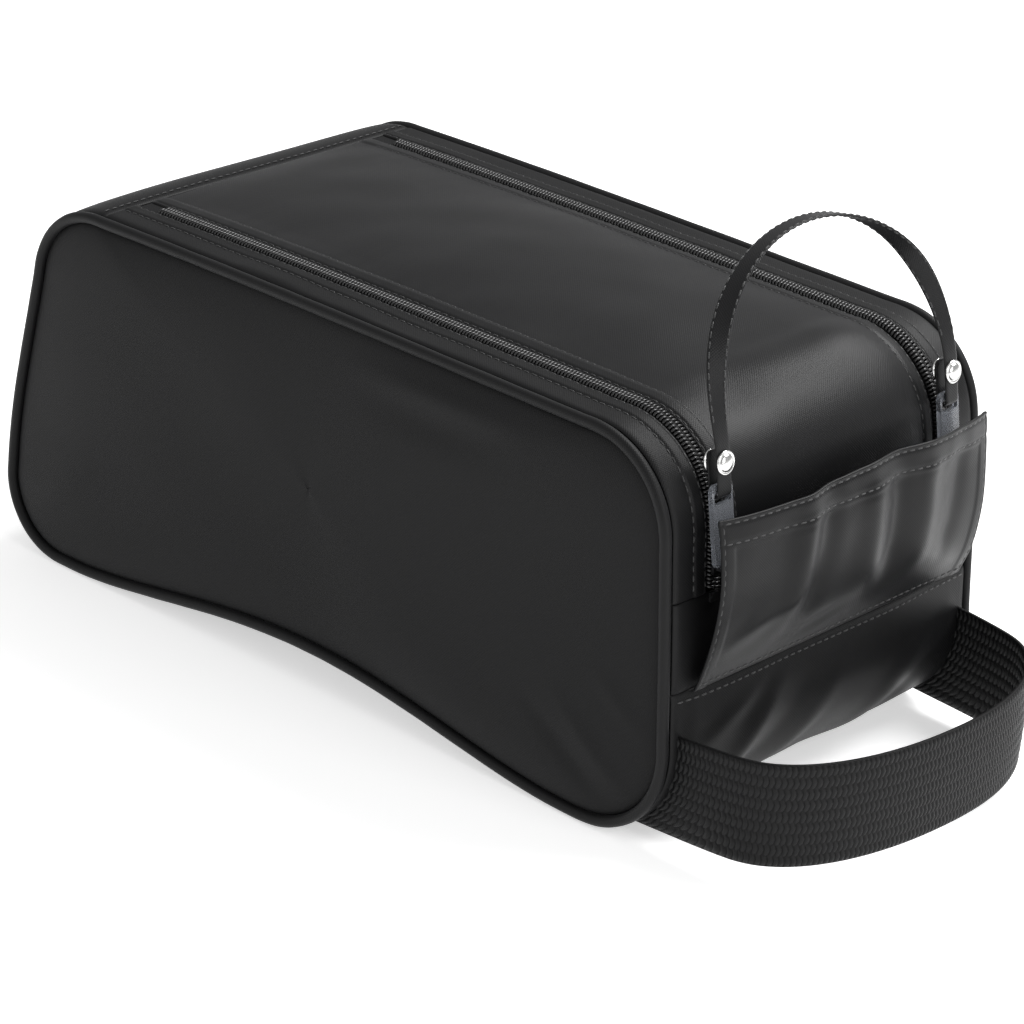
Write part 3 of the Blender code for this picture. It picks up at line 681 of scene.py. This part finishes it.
def coil_row(name, side_sign, edge, offset, body):
    """One coil: a loop of wire for each pitch, from the tape over to the middle line."""
    start, end = ZIP_AT + 0.001, HINGE_AT - 0.011
    count = int((end - start) / COIL_PITCH)
    loop = (
        (COIL_REACH, -0.00125),
        (COIL_REACH + 0.0001, -0.00045),
        (COIL_REACH - 0.00035, COIL_TOP - 0.00012),
        (0.00125, COIL_TOP),
        (0.00010, COIL_TOP - 0.00010),
        (-0.00042, -0.00035),
        (-0.00030, -0.00095),
    )
    sides = 6
    vertices = []
    faces = []
    for i in range(count):
        centre = start + (i + offset) * COIL_PITCH
        base = len(vertices)
        for r, (reach, lift) in enumerate(loop):
            s = centre + (0.00030 - 0.00060 * r / (len(loop) - 1)) * (1 if edge > 0 else -1)
            x, z, nx, nz = OUTLINE.at(s)
            before = loop[max(0, r - 1)]
            after = loop[min(len(loop) - 1, r + 1)]
            along = Vector((after[0] - before[0], after[1] - before[1])).normalized()
            size = COIL_WIRE * (1.22 if r in (4, 5) else 1.0)
            for k in range(sides):
                angle = 2 * math.pi * k / sides
                shift = math.cos(angle) * size
                push_y = -along.y * shift
                push_n = along.x * shift
                y = side_sign * (ZIP_Y + edge * (reach + push_y))
                slide = math.sin(angle) * size * 1.15
                height = lift + push_n
                vertices.append((x + nx * height - nz * slide, y, z + nz * height + nx * slide))
        for r in range(len(loop) - 1):
            for k in range(sides):
                m = (k + 1) % sides
                faces.append((base + r * sides + k, base + r * sides + m,
                              base + (r + 1) * sides + m, base + (r + 1) * sides + k))
        faces.append(tuple(base + k for k in range(sides)))
        top = base + (len(loop) - 1) * sides
        faces.append(tuple(top + k for k in range(sides)))
    made = new_piece(name, vertices, faces)
    join_up(made)
    made.data.materials.append(COIL_LOOK)
    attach(made, body)
    return made


for side, sign in (("near", -1), ("far", 1)):
    for label, edge, body in (("outer", 1, "bag_body"), ("lid", -1, "lid")):
        node = f"zip_coil_{side}_{label}"
        coil = coil_row(f"coil_{side}_{label}", sign, edge, 0.25 + 0.5 * (edge > 0), body)
        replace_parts(coil, node)
        inner = ZIP_Y + edge * 0.0002
        outer = (STRIP_EDGE + 0.006) if edge > 0 else (LID_EDGE - 0.006)
        low, high = sorted((sign * inner, sign * outer))
        tape = band_sheet(f"tape_{side}_{label}", ZIP_AT + 0.0005, HINGE_AT - 0.0102, low, high, tape_height,
                          TAPE_CLOTH, 150, 8, thickness=0.0005)
        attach(tape, body)
        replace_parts(tape, f"zip_tape_{side}_{label}")

    low, high = sorted((sign * (LID_EDGE - 0.004), sign * (STRIP_EDGE + 0.004)))
    patch = band_sheet(f"zip_end_{side}", HINGE_AT - 0.0120, HINGE_AT - 0.0004, low, high, patch_height,
                       TAPE_CLOTH, 16, 16, thickness=0.0005)
    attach(patch, "bag_body")

# ------------------------------------------------------------------ sliders and stops
# Black painted zinc: a slider on each zip with a bail for its pull tab, and a clamped
# stop below it. The paint is worn a little in scattered patches.


def painted_metal(name, colour, rough):
    made, tree, shader = new_look(name)
    shader.inputs["Metallic"].default_value = 0.85
    spots = uneven_gloss(tree, shader, 600.0, rough - 0.06, rough + 0.10, detail=4.0)
    worn = wire(tree, "ValToRGB")
    worn.color_ramp.elements[0].position = 0.55
    worn.color_ramp.elements[0].color = (*colour, 1.0)
    worn.color_ramp.elements[1].position = 0.80
    worn.color_ramp.elements[1].color = (*[min(1.0, c * 3.0) for c in colour], 1.0)
    tree.links.new(spots.outputs["Fac"], worn.inputs["Fac"])
    tree.links.new(worn.outputs["Color"], shader.inputs["Base Color"])
    return made


SLIDER_METAL = painted_metal("slider_metal", (0.045, 0.045, 0.048), 0.34)
for node in ("zip_slider_near", "zip_slider_far", "zip_stop_near", "zip_stop_far"):
    frame["nodes"][node].data.materials.clear()
    frame["nodes"][node].data.materials.append(SLIDER_METAL)

# ------------------------------------------------------------------ pull strap
# A narrow strap of folded cloth, sewn along both edges, joins the two pull tabs. Each end
# goes through its tab's slot, doubles back and is held by a bright capped rivet.

STRAP_WIDTH = 0.0076
STRAP_THICK = 0.0012
STRAP_RISE = 0.064
STRAP_LEAN = 0.013
PULL_LEAN = math.radians(9.0)
TAB_THICK = 0.0020
TAB_LENGTH = 0.029
SLOT_BAR = 0.0026
RIVET_RADIUS = 0.0044
RIVET_UP = TAB_LENGTH + 0.0078
PLY = TAB_THICK / 2 + 2 * SEAM_GAP + 0.0005
bail = next(joint for joint in frame["joints"] if joint["name"] == "strap_swing")["pos_m"]
PULL_PLACE = Matrix.Translation(bail) @ Matrix.Rotation(-PULL_LEAN, 4, "Y")

STRAP_CLOTH = cloth_material("strap_cloth", (0.0080, 0.0080, 0.0084), 0.40, 0.14, weave=0.3)


def strap_route():
    """Middle points and width directions in the strap's own frame, near end to far end."""
    end = []
    turn = TAB_LENGTH - SLOT_BAR - PLY - SEAM_GAP
    top = RIVET_UP + RIVET_RADIUS + 0.001
    for z in (top, (top + turn) / 2):
        end.append((Vector((-PLY, 0.0, z)), Vector((0, 1, 0))))
    for i in range(9):
        angle = math.pi - math.pi * i / 8
        end.append((Vector((PLY * math.cos(angle), 0.0, turn + PLY - 0.85 * PLY * math.sin(angle))),
                    Vector((0, 1, 0))))
    end.append((Vector((PLY, 0.0, RIVET_UP)), Vector((0, 1, 0))))
    route = [(point + Vector((0, -ZIP_Y, 0)), wide) for point, wide in end]
    steps = 70
    for i in range(steps + 1):
        angle = math.pi * i / steps
        rise = max(0.0, math.sin(angle))
        point = Vector((PLY - STRAP_LEAN * rise, -ZIP_Y * math.cos(angle), top + STRAP_RISE * rise ** 0.85))
        twist = math.pi / 2 * rise ** 1.2
        route.append((point, Vector((math.sin(twist), math.cos(twist), 0.0))))
    for point, wide in reversed(end):
        route.append((point + Vector((0, ZIP_Y, 0)), wide))
    return route


route = strap_route()
section = []
for t in np.linspace(-1, 1, 13):
    rim = 1 - abs(t)
    crown = 0.62 - 0.38 * math.exp(-((rim - 0.22) / 0.07) ** 2) + 0.25 * math.exp(-((rim - 0.08) / 0.09) ** 2)
    section.append((t * STRAP_WIDTH / 2, crown * STRAP_THICK / 2 + 0.0001 if rim > 0 else 0.0))
section += [(a, -b) for a, b in section[1:-1][::-1]]
rings = []
sizes = []
edge_rows = {(-1, 1): [], (-1, -1): [], (1, 1): [], (1, -1): []}
walked = 0.0
for i, (point, wide) in enumerate(route):
    before = route[max(0, i - 1)][0]
    after = route[min(len(route) - 1, i + 1)][0]
    along = (after - before).normalized()
    wide = (wide - along * wide.dot(along)).normalized()
    thick = along.cross(wide)
    walked += (point - before).length
    ring = [PULL_PLACE @ (point + wide * a + thick * b) for a, b in section]
    rings.append([tuple(p) for p in ring] + [tuple(ring[0])])
    sizes.append([(walked, a) for a, b in section] + [(walked, 0.012)])
    for (edge, face), row in edge_rows.items():
        sewn_at = point + wide * edge * STRAP_WIDTH * 0.39 + thick * face * STRAP_THICK * 0.30
        row.append((PULL_PLACE @ sewn_at, PULL_PLACE.to_3x3() @ (thick * face)))
strap = grid_mesh("strap_cloth", np.array(rings), np.array(sizes), levels=1)
join_up(strap, holes=True)
strap.data.shade_smooth()
strap.data.materials.append(STRAP_CLOTH)
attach(strap, "pull_strap_set")
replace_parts(strap, "pull_strap")
sewn = [([p for p, _ in row[14:-14]], [n for _, n in row[14:-14]]) for row in edge_rows.values()]
stitches("strap_edge_stitches", sewn, "pull_strap_set")

# ------------------------------------------------------------------ rivets
# Two-piece capped rivets in bright nickel: a domed cap inside a rolled rim, and a
# smaller one behind, closed through both plies of the strap.

RIVET_METAL, tree, shader = new_look("bright_nickel")
shader.inputs["Base Color"].default_value = (0.74, 0.74, 0.73, 1.0)
shader.inputs["Metallic"].default_value = 1.0
uneven_gloss(tree, shader, 700.0, 0.12, 0.34, detail=6.0)


def rivet(name, y, face, direction, scale):
    """A turned cap: rolled rim, narrow groove, then the dome."""
    radius = RIVET_RADIUS * scale
    outline = [
        (0.0, 0.0),
        (0.0, radius * 0.97),
        (0.0002, radius),
        (0.0006, radius * 0.99),
        (0.00085, radius * 0.93),
        (0.00080, radius * 0.85),
        (0.00062, radius * 0.79),
        (0.00070, radius * 0.75),
    ]
    for i in range(1, 9):
        angle = math.pi / 2 * i / 8
        outline.append((0.0007 + 0.0013 * math.sin(angle), radius * 0.75 * math.cos(angle)))
    bm = bmesh.new()
    verts = [bm.verts.new((x, r, 0.0)) for x, r in outline]
    edges = [bm.edges.new(pair) for pair in zip(verts, verts[1:])]
    bmesh.ops.spin(bm, geom=verts + edges, cent=(0, 0, 0), axis=(1, 0, 0), angle=2 * math.pi, steps=48)
    bmesh.ops.remove_doubles(bm, verts=bm.verts, dist=1e-6)
    bmesh.ops.recalc_face_normals(bm, faces=bm.faces)
    if direction < 0:
        bmesh.ops.scale(bm, vec=(-1, 1, 1), verts=bm.verts)
        bmesh.ops.reverse_faces(bm, faces=bm.faces)
    bm.transform(PULL_PLACE @ Matrix.Translation((face, y, RIVET_UP)))
    mesh = bpy.data.meshes.new(name)
    bm.to_mesh(mesh)
    bm.free()
    mesh.shade_smooth()
    made = bpy.data.objects.new(name, mesh)
    bpy.context.collection.objects.link(made)
    made.data.materials.append(RIVET_METAL)
    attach(made, "pull_strap_set")
    return made


for side, sign in (("near", -1), ("far", 1)):
    face = PLY + STRAP_THICK / 2 + 0.0001
    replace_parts(rivet("rivet_front_" + side, sign * ZIP_Y, face, 1, 1.0), "rivet_cap_" + side)
    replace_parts(rivet("rivet_rear_" + side, sign * ZIP_Y, -face, -1, 0.94), "rivet_back_" + side)

# ------------------------------------------------------------------ pull tabs
# Moulded in smoky see-through plastic, with a slot for the strap at the top, a small
# hole for the bail at the foot, and softly rounded edges.

CLEAR, tree, shader = new_look("smoky_plastic")
shader.inputs["Base Color"].default_value = (0.42, 0.44, 0.48, 1.0)
shader.inputs["Transmission Weight"].default_value = 0.75
shader.inputs["IOR"].default_value = 1.49
uneven_gloss(tree, shader, 160.0, 0.10, 0.26)
for node in ("pull_tab_near", "pull_tab_far"):
    frame["nodes"][node].data.materials.clear()
    frame["nodes"][node].data.materials.append(CLEAR)

# ------------------------------------------------------------------ front cover
# A loose panel of the satin cloth over the front end, sewn in only along its bottom. Its
# top and sides are hemmed and sewn; it bows out and hangs in soft upright folds.

COVER_CLOTH = cloth_material("cover_cloth", (0.0050, 0.0050, 0.0053), 0.36, 0.08, weave=0.22, cloud=0.7)
cover_joint = next(joint for joint in frame["joints"] if joint["name"] == "cover_hinge")
COVER_X, _, COVER_Z = cover_joint["pos_m"]
COVER_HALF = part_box("front_cover_panel")[1][1]
COVER_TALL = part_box("front_cover_panel")[1][2] - COVER_Z
COVER_BOW = 0.0125
COVER_BELLY = 0.0060
COVER_FALL = 0.0070
HEM = 0.0105
SIDE_HEM = 0.0060


def cover_place(part, y):
    """The cover's middle surface: how far forward it stands at a share of its height."""
    share = y / COVER_HALF
    bow = COVER_BOW * (1 - (1 - np.clip(part, 0, 1)) ** 2.4) - COVER_FALL * part ** 2
    belly = COVER_BELLY * np.sin(np.pi / 2 * part) * (1 - share ** 2)
    up = part * COVER_TALL
    hang = ease((part - 0.10) / 0.35) * (1 - 0.65 * ease((part - 0.80) / 0.12))
    folds = 0.0026 * np.exp(-((y + 0.040 - 0.10 * up) / 0.0065) ** 2)
    folds -= 0.0020 * np.exp(-((y + 0.026 - 0.08 * up) / 0.0060) ** 2)
    folds += 0.0024 * np.exp(-((y - 0.004 + 0.04 * up) / 0.0075) ** 2)
    folds -= 0.0022 * np.exp(-((y - 0.019 + 0.02 * up) / 0.0060) ** 2)
    folds += 0.0021 * np.exp(-((y - 0.034) / 0.0070) ** 2)
    folds -= 0.0014 * np.exp(-((y - 0.050 - 0.08 * up) / 0.0060) ** 2)
    drags = fold(y, up, (-0.070, 0.012), (-0.030, 0.034), 0.0050, 0.0012)
    drags += fold(y, up, (0.066, 0.010), (0.030, 0.028), 0.0050, 0.0012)
    drags -= fold(y, up, (-0.040, 0.006), (0.010, 0.016), 0.0040, 0.0010)
    soft = 0.0010 * ripple(y, up, 0.030, 11.3) * ease(part / 0.2)
    dip = -0.0016 * ease((part - 0.7) / 0.3) * np.cos(np.pi * share * 1.5)
    return bow + belly + folds * hang + drags + soft + dip


def cover_hem(part, y):
    """Extra thickness of the turned hems, with sewn grooves."""
    down = (1 - part) * COVER_TALL
    side = COVER_HALF - np.abs(y)
    top = 0.00050 * (1 - ease((down - HEM + 0.0010) / 0.0018))
    edge = 0.00040 * (1 - ease((side - SIDE_HEM + 0.0008) / 0.0016))
    groove = np.exp(-((down - 0.0016) / 0.0005) ** 2) + np.exp(-((down - HEM + 0.0016) / 0.0006) ** 2)
    groove += np.exp(-((side - 0.0015) / 0.0005) ** 2)
    pucker = 0.00020 * ripple(y, down, 0.0058, 4.1) * np.exp(-np.abs(down - HEM) / 0.006)
    return np.maximum(top, edge) - 0.00034 * groove + pucker


rows, columns = 84, 190
part, across = np.meshgrid(np.linspace(0, 1, rows), np.linspace(-1, 1, columns), indexing="ij")
part = part ** 0.95
y = across * COVER_HALF * (1 - 0.010 * np.sin(np.pi * part))
front = COVER_X + cover_place(part, y) + cover_hem(part, y) + 0.0004
z = COVER_Z + part * COVER_TALL + 0.0012 * np.sin(np.pi * (across + 0.3)) * part
where = np.stack([front, y, z], axis=2)
cover = grid_mesh("cover_cloth", where, np.stack([y, z], axis=2), thickness=0.0012, flip=True)
cover.data.materials.append(COVER_CLOTH)
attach(cover, "front_cover")
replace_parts(cover, "front_cover_panel")


def cover_line(parts, ys):
    lift = cover_place(parts, ys) + cover_hem(parts, ys) + 0.0004
    shares = ys / COVER_HALF
    points = np.stack([COVER_X + lift, ys, COVER_Z + parts * COVER_TALL + 0.0012 * np.sin(
        np.pi * (shares + 0.3)) * parts], axis=1)
    return points, np.tile((1.0, 0.0, 0.25), (len(ys), 1))


span = np.linspace(-COVER_HALF + 0.002, COVER_HALF - 0.002, 160)
climb = np.linspace(0.03, 0.97, 60)
rows = [cover_line(np.full(160, 1 - depth / COVER_TALL), span) for depth in (0.0016, HEM - 0.0016)]
rows += [cover_line(climb, np.full(60, sign * (COVER_HALF - 0.0016))) for sign in (-1, 1)]
rows.append(cover_line(np.full(160, 0.045), span))
stitches("cover_stitches", rows, "front_cover")

# ------------------------------------------------------------------ grab handle
# One length of stout ribbed webbing, sewn into both side seams at the foot of the front
# end. Short upright ribs are woven in nine rows, which nest into each other row by row.

WEB_TALL = 0.040
WEB_CORE = 0.0013
WEB_ROWS = 9
RIB_PITCH = 0.00205
RIB_THICK = 0.00062
WEB_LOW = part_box("grab_handle")[0][2]
ROOT_Y = (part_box("handle_root_far")[0][1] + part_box("handle_root_far")[1][1]) / 2
ROOT_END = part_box("handle_root_far")[1][0]
LOOP_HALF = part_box("grab_handle")[1][1] - WEB_CORE / 2
LOOP_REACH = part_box("grab_handle")[1][0] - ROOT_END - WEB_CORE / 2 - 0.0003
SEAM_X = BAG_HIGH[0]

WEB_CLOTH = cloth_material("web_cloth", (0.0025, 0.0025, 0.0027), 0.60, 0.03, thread=0.0008, weave=0.5)
RIB_CLOTH = cloth_material("rib_cloth", (0.0048, 0.0048, 0.0051), 0.34, 0.08, thread=0.0004, weave=0.35)

front_part = (OUTLINE.xz[:, 0] > 0.5 * SEAM_X) & (OUTLINE.xz[:, 1] < 2 * WEB_TALL)
order = np.argsort(OUTLINE.xz[front_part, 1])
SEAM_Z = OUTLINE.xz[front_part, 1][order]
SEAM_BACK = SEAM_X - OUTLINE.xz[front_part, 0][order]


def handle_line():
    """The webbing's middle line seen from above, from the near seam to the far one."""
    points = [
        (SEAM_X - 0.0035, -ROOT_Y - 0.0006),
        (SEAM_X + 0.004, -ROOT_Y - 0.0003),
        (SEAM_X + 0.011, -ROOT_Y + 0.0003),
    ]
    for i in range(1, 40):
        angle = math.pi * i / 40
        x = ROOT_END + LOOP_REACH * math.sin(angle) ** 0.9
        y = -LOOP_HALF * math.copysign(abs(math.cos(angle)) ** 0.9, math.cos(angle))
        points.append((x, y))
    points += [(x, -y) for x, y in points[:3][::-1]]
    spots = np.array(points)
    for _ in range(3):
        spots[1:-1] = 0.25 * spots[:-2] + 0.5 * spots[1:-1] + 0.25 * spots[2:]
    steps = np.linalg.norm(np.diff(spots, axis=0), axis=1)
    marks = np.concatenate([[0.0], np.cumsum(steps)])
    even = np.linspace(0, marks[-1], 420)
    line = np.stack([np.interp(even, marks, spots[:, i]) for i in (0, 1)], axis=1)
    kernel = np.hanning(15)
    kernel /= kernel.sum()
    padded = np.vstack([np.repeat(line[:1], 7, axis=0), line, np.repeat(line[-1:], 7, axis=0)])
    soft = np.stack([np.convolve(padded[:, i], kernel, mode="valid") for i in (0, 1)], axis=1)
    return even, soft


web_at, web_line = handle_line()
web_along = np.gradient(web_line, web_at, axis=0)
web_along /= np.linalg.norm(web_along, axis=1)[:, None]
web_out = np.stack([web_along[:, 1], -web_along[:, 0]], axis=1)


def web_point(length, height, push):
    """A point on the webbing: along it, up it, and out of its middle surface."""
    x = np.interp(length, web_at, web_line[:, 0])
    y = np.interp(length, web_at, web_line[:, 1])
    nx = np.interp(length, web_at, web_out[:, 0])
    ny = np.interp(length, web_at, web_out[:, 1])
    share = length / web_at[-1]
    cup = 0.0006 * np.sin(np.pi * share) * (1 - (2 * height / WEB_TALL - 1) ** 2)
    lean = 0.0022 * np.sin(np.pi * share) ** 2 * (height / WEB_TALL - 0.5)
    lift = WEB_LOW + 0.0012 * np.sin(2 * np.pi * share) + height
    from_seam = np.minimum(length, web_at[-1] - length)
    x = x - np.interp(lift, SEAM_Z, SEAM_BACK) * (1 - ease(from_seam / 0.030))
    return np.stack([x + nx * (push + cup + lean), y + ny * (push + cup + lean), lift], axis=-1)


length, height = np.meshgrid(web_at, np.linspace(0, WEB_TALL, 19), indexing="ij")
front = web_point(length, height, WEB_CORE / 2)
back = web_point(length[:, ::-1], height[:, ::-1], -WEB_CORE / 2)
where = np.concatenate([front, back, front[:, :1]], axis=1)
girth = np.concatenate([height, WEB_TALL + height + WEB_CORE, 2 * WEB_TALL + height[:, :1]], axis=1)
core_size = np.stack([np.repeat(length[:, :1], girth.shape[1], axis=1), girth], axis=2)
core = grid_mesh("webbing_core", where, core_size, levels=0)
join_up(core, holes=True)
core.data.materials.append(WEB_CLOTH)

vertices = []
faces = []
sizes = []
row_tall = WEB_TALL / WEB_ROWS
rib_profile = (
    (-0.60, 0.25, -0.2, -0.30),
    (-0.42, 0.80, 0.6, -0.12),
    (0.0, 1.0, 1.0, 0.12),
    (0.42, 0.80, 0.6, -0.12),
    (0.60, 0.25, -0.2, -0.30),
)
rib_sides = ((-0.50, 0.0), (-0.36, 0.62), (0.0, 1.0), (0.36, 0.62), (0.50, 0.0))
across = len(rib_sides)
count = int(web_at[-1] / RIB_PITCH)
for face in (1, -1):
    for row in range(WEB_ROWS):
        middle = (row + 0.5) * row_tall
        at = (np.arange(count) + 0.5 + 0.35 * (row % 2)) * RIB_PITCH
        at = at[(at > 0.001) & (at < web_at[-1] - 0.001)]
        for a in at:
            base = len(vertices)
            uneven = 0.10 * noise.noise(Vector((a * 900, row * 3.7, face)))
            for up, size, lift, slip in rib_profile:
                for side, rise in rib_sides:
                    along = a + (side * size * 0.98 + slip * face + uneven) * RIB_PITCH
                    tall = np.clip(middle + up * row_tall * 0.98, 0.0002, WEB_TALL - 0.0002)
                    push = face * (WEB_CORE / 2 - 0.0001 + RIB_THICK * rise * max(lift, 0.15))
                    vertices.append(tuple(web_point(along, tall, push)))
                    sizes.append((along, tall))
            for r in range(len(rib_profile) - 1):
                for k in range(across - 1):
                    corner = base + r * across + k
                    quad = (corner, corner + 1, corner + across + 1, corner + across)
                    faces.append(quad if face > 0 else quad[::-1])
ribs = new_piece("webbing_ribs", vertices, faces)
keep_size(ribs, np.array(sizes))
ribs.data.materials.append(RIB_CLOTH)

for piece in (core, ribs):
    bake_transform(piece)
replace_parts(core, "grab_handle", "handle_root_near", "handle_root_far")

# ------------------------------------------------------------------ inside
# Woven tape binds the raw edges of both side seams, and a small blank woven label is
# sewn to the rear end, turned under all round.

BINDING_TAPE = cloth_material("binding_tape", (0.0140, 0.0140, 0.0146), 0.75, 0.12, thread=0.0009, weave=0.5)
LABEL_CLOTH = cloth_material("label_cloth", (0.0600, 0.0610, 0.0640), 0.70, 0.15, thread=0.0004, weave=0.4)
for side, sign in (("near", -1), ("far", 1)):
    middle = (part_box("seam_binding_" + side)[0][1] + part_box("seam_binding_" + side)[1][1]) / 2
    count = 420
    length = np.linspace(0.0, OUTLINE.total, count, endpoint=False)
    one_side = [(-0.0018, 0.0), (-0.0018, 0.00045), (-0.0052, 0.0006), (-0.0085, 0.0006), (-0.0094, 0.0003)]
    profile = one_side + [(push, -wide) for push, wide in one_side[::-1]]
    where = []
    for push, wide in profile:
        x, z, _, _ = OUTLINE.at(length, push)
        wave = 0.0002 * ripple(length, length * 0, 0.010, 5.0 + sign) * (push < -0.004)
        where.append(np.stack([x, np.full(count, middle) + wide + wave, z], axis=1))
    where = np.stack(where, axis=1)
    round_tape = np.tile(np.arange(len(profile)) * 0.0018, (count, 1))
    uv = np.stack([np.repeat(length[:, None], len(profile), axis=1), round_tape], axis=2)
    binding = grid_mesh("binding_" + side, where, uv, close_u=True, levels=0)
    join_up(binding)
    binding.data.materials.append(BINDING_TAPE)
    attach(binding, "bag_body")
    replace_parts(binding, "seam_binding_" + side)

label_low, label_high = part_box("inside_label")
label_from = OUTLINE.rear_at(label_high[2])
label_to = OUTLINE.rear_at(label_low[2])


def label_height(s, y):
    edge = np.minimum(np.minimum(s - label_from, label_to - s), label_high[1] - np.abs(y))
    return -0.0021 - 0.0003 * (1 - ease((edge - 0.001) / 0.0006))


label = band_sheet("label_cloth", label_from, label_to, label_low[1], label_high[1], label_height,
                   LABEL_CLOTH, 40, 50, thickness=0.0004)
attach(label, "bag_body")
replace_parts(label, "inside_label")

# ------------------------------------------------------------------ studio
# A plain pale floor, one broad soft light above and behind, weaker ones at the right and
# in front, and a long lens a little above the bag.

FLOOR_HALF = 6.0
bm = bmesh.new()
corners = ((-1, -1), (1, -1), (1, 1), (-1, 1))
bm.faces.new([bm.verts.new((x * FLOOR_HALF, y * FLOOR_HALF, -SEAM_GAP)) for x, y in corners])
mesh = bpy.data.meshes.new("floor")
bm.to_mesh(mesh)
bm.free()
floor = bpy.data.objects.new("floor", mesh)
bpy.context.collection.objects.link(floor)
PALE, tree, shader = new_look("pale_floor")
shader.inputs["Base Color"].default_value = (0.94, 0.94, 0.94, 1.0)
shader.inputs["Emission Color"].default_value = (1.0, 1.0, 1.0, 1.0)
shader.inputs["Emission Strength"].default_value = 0.52
shader.inputs["Roughness"].default_value = 0.9
shader.inputs["Specular IOR Level"].default_value = 0.1
floor.data.materials.append(PALE)

world = bpy.data.worlds.new("studio")
bpy.context.scene.world = world
world.use_nodes = True
world.node_tree.nodes["Background"].inputs["Color"].default_value = (1.0, 1.0, 1.0, 1.0)
world.node_tree.nodes["Background"].inputs["Strength"].default_value = 0.42
bpy.context.scene.view_settings.view_transform = "Standard"


def soft_light(name, place, aim, wide, tall, power):
    lamp = bpy.data.lights.new(name, "AREA")
    lamp.shape = "RECTANGLE"
    lamp.size = wide
    lamp.size_y = tall
    lamp.energy = power
    made = bpy.data.objects.new(name, lamp)
    bpy.context.collection.objects.link(made)
    made.location = place
    made.rotation_euler = (Vector(aim) - Vector(place)).to_track_quat("-Z", "Y").to_euler()
    return made


soft_light("top_back", (0.35, 0.95, 1.35), (0.0, 0.0, 0.10), 1.3, 0.9, 34.0)
soft_light("right", (1.50, -0.15, 0.75), (0.10, 0.0, 0.08), 0.8, 1.0, 9.0)
soft_light("front_fill", (-0.60, -1.70, 0.80), (0.0, 0.0, 0.07), 1.2, 1.0, 5.0)

CAMERA_TURN = math.radians(42.29)
CAMERA_DOWN = math.radians(24.35)
CAMERA_ROLL = math.radians(3.0)
CAMERA_AWAY = 1.533
CAMERA_LENS = 140.6
CAMERA_AIM = Vector((-0.0101, 0.0, 0.0543))
flat = math.cos(CAMERA_DOWN)
ahead = Vector((-math.sin(CAMERA_TURN) * flat, math.cos(CAMERA_TURN) * flat, -math.sin(CAMERA_DOWN)))
level = Vector((math.cos(CAMERA_TURN), math.sin(CAMERA_TURN), 0.0))
upward = level.cross(ahead)
right = level * math.cos(CAMERA_ROLL) + upward * math.sin(CAMERA_ROLL)
upward = right.cross(ahead)
turn = Matrix((right, upward, -ahead)).transposed().to_4x4()
lens = bpy.data.cameras.new("camera")
lens.lens = CAMERA_LENS
lens.sensor_width = 36.0
lens.clip_start = 0.05
camera = bpy.data.objects.new("camera", lens)
bpy.context.collection.objects.link(camera)
camera.matrix_world = Matrix.Translation(CAMERA_AIM - ahead * CAMERA_AWAY) @ turn
bpy.context.scene.camera = camera
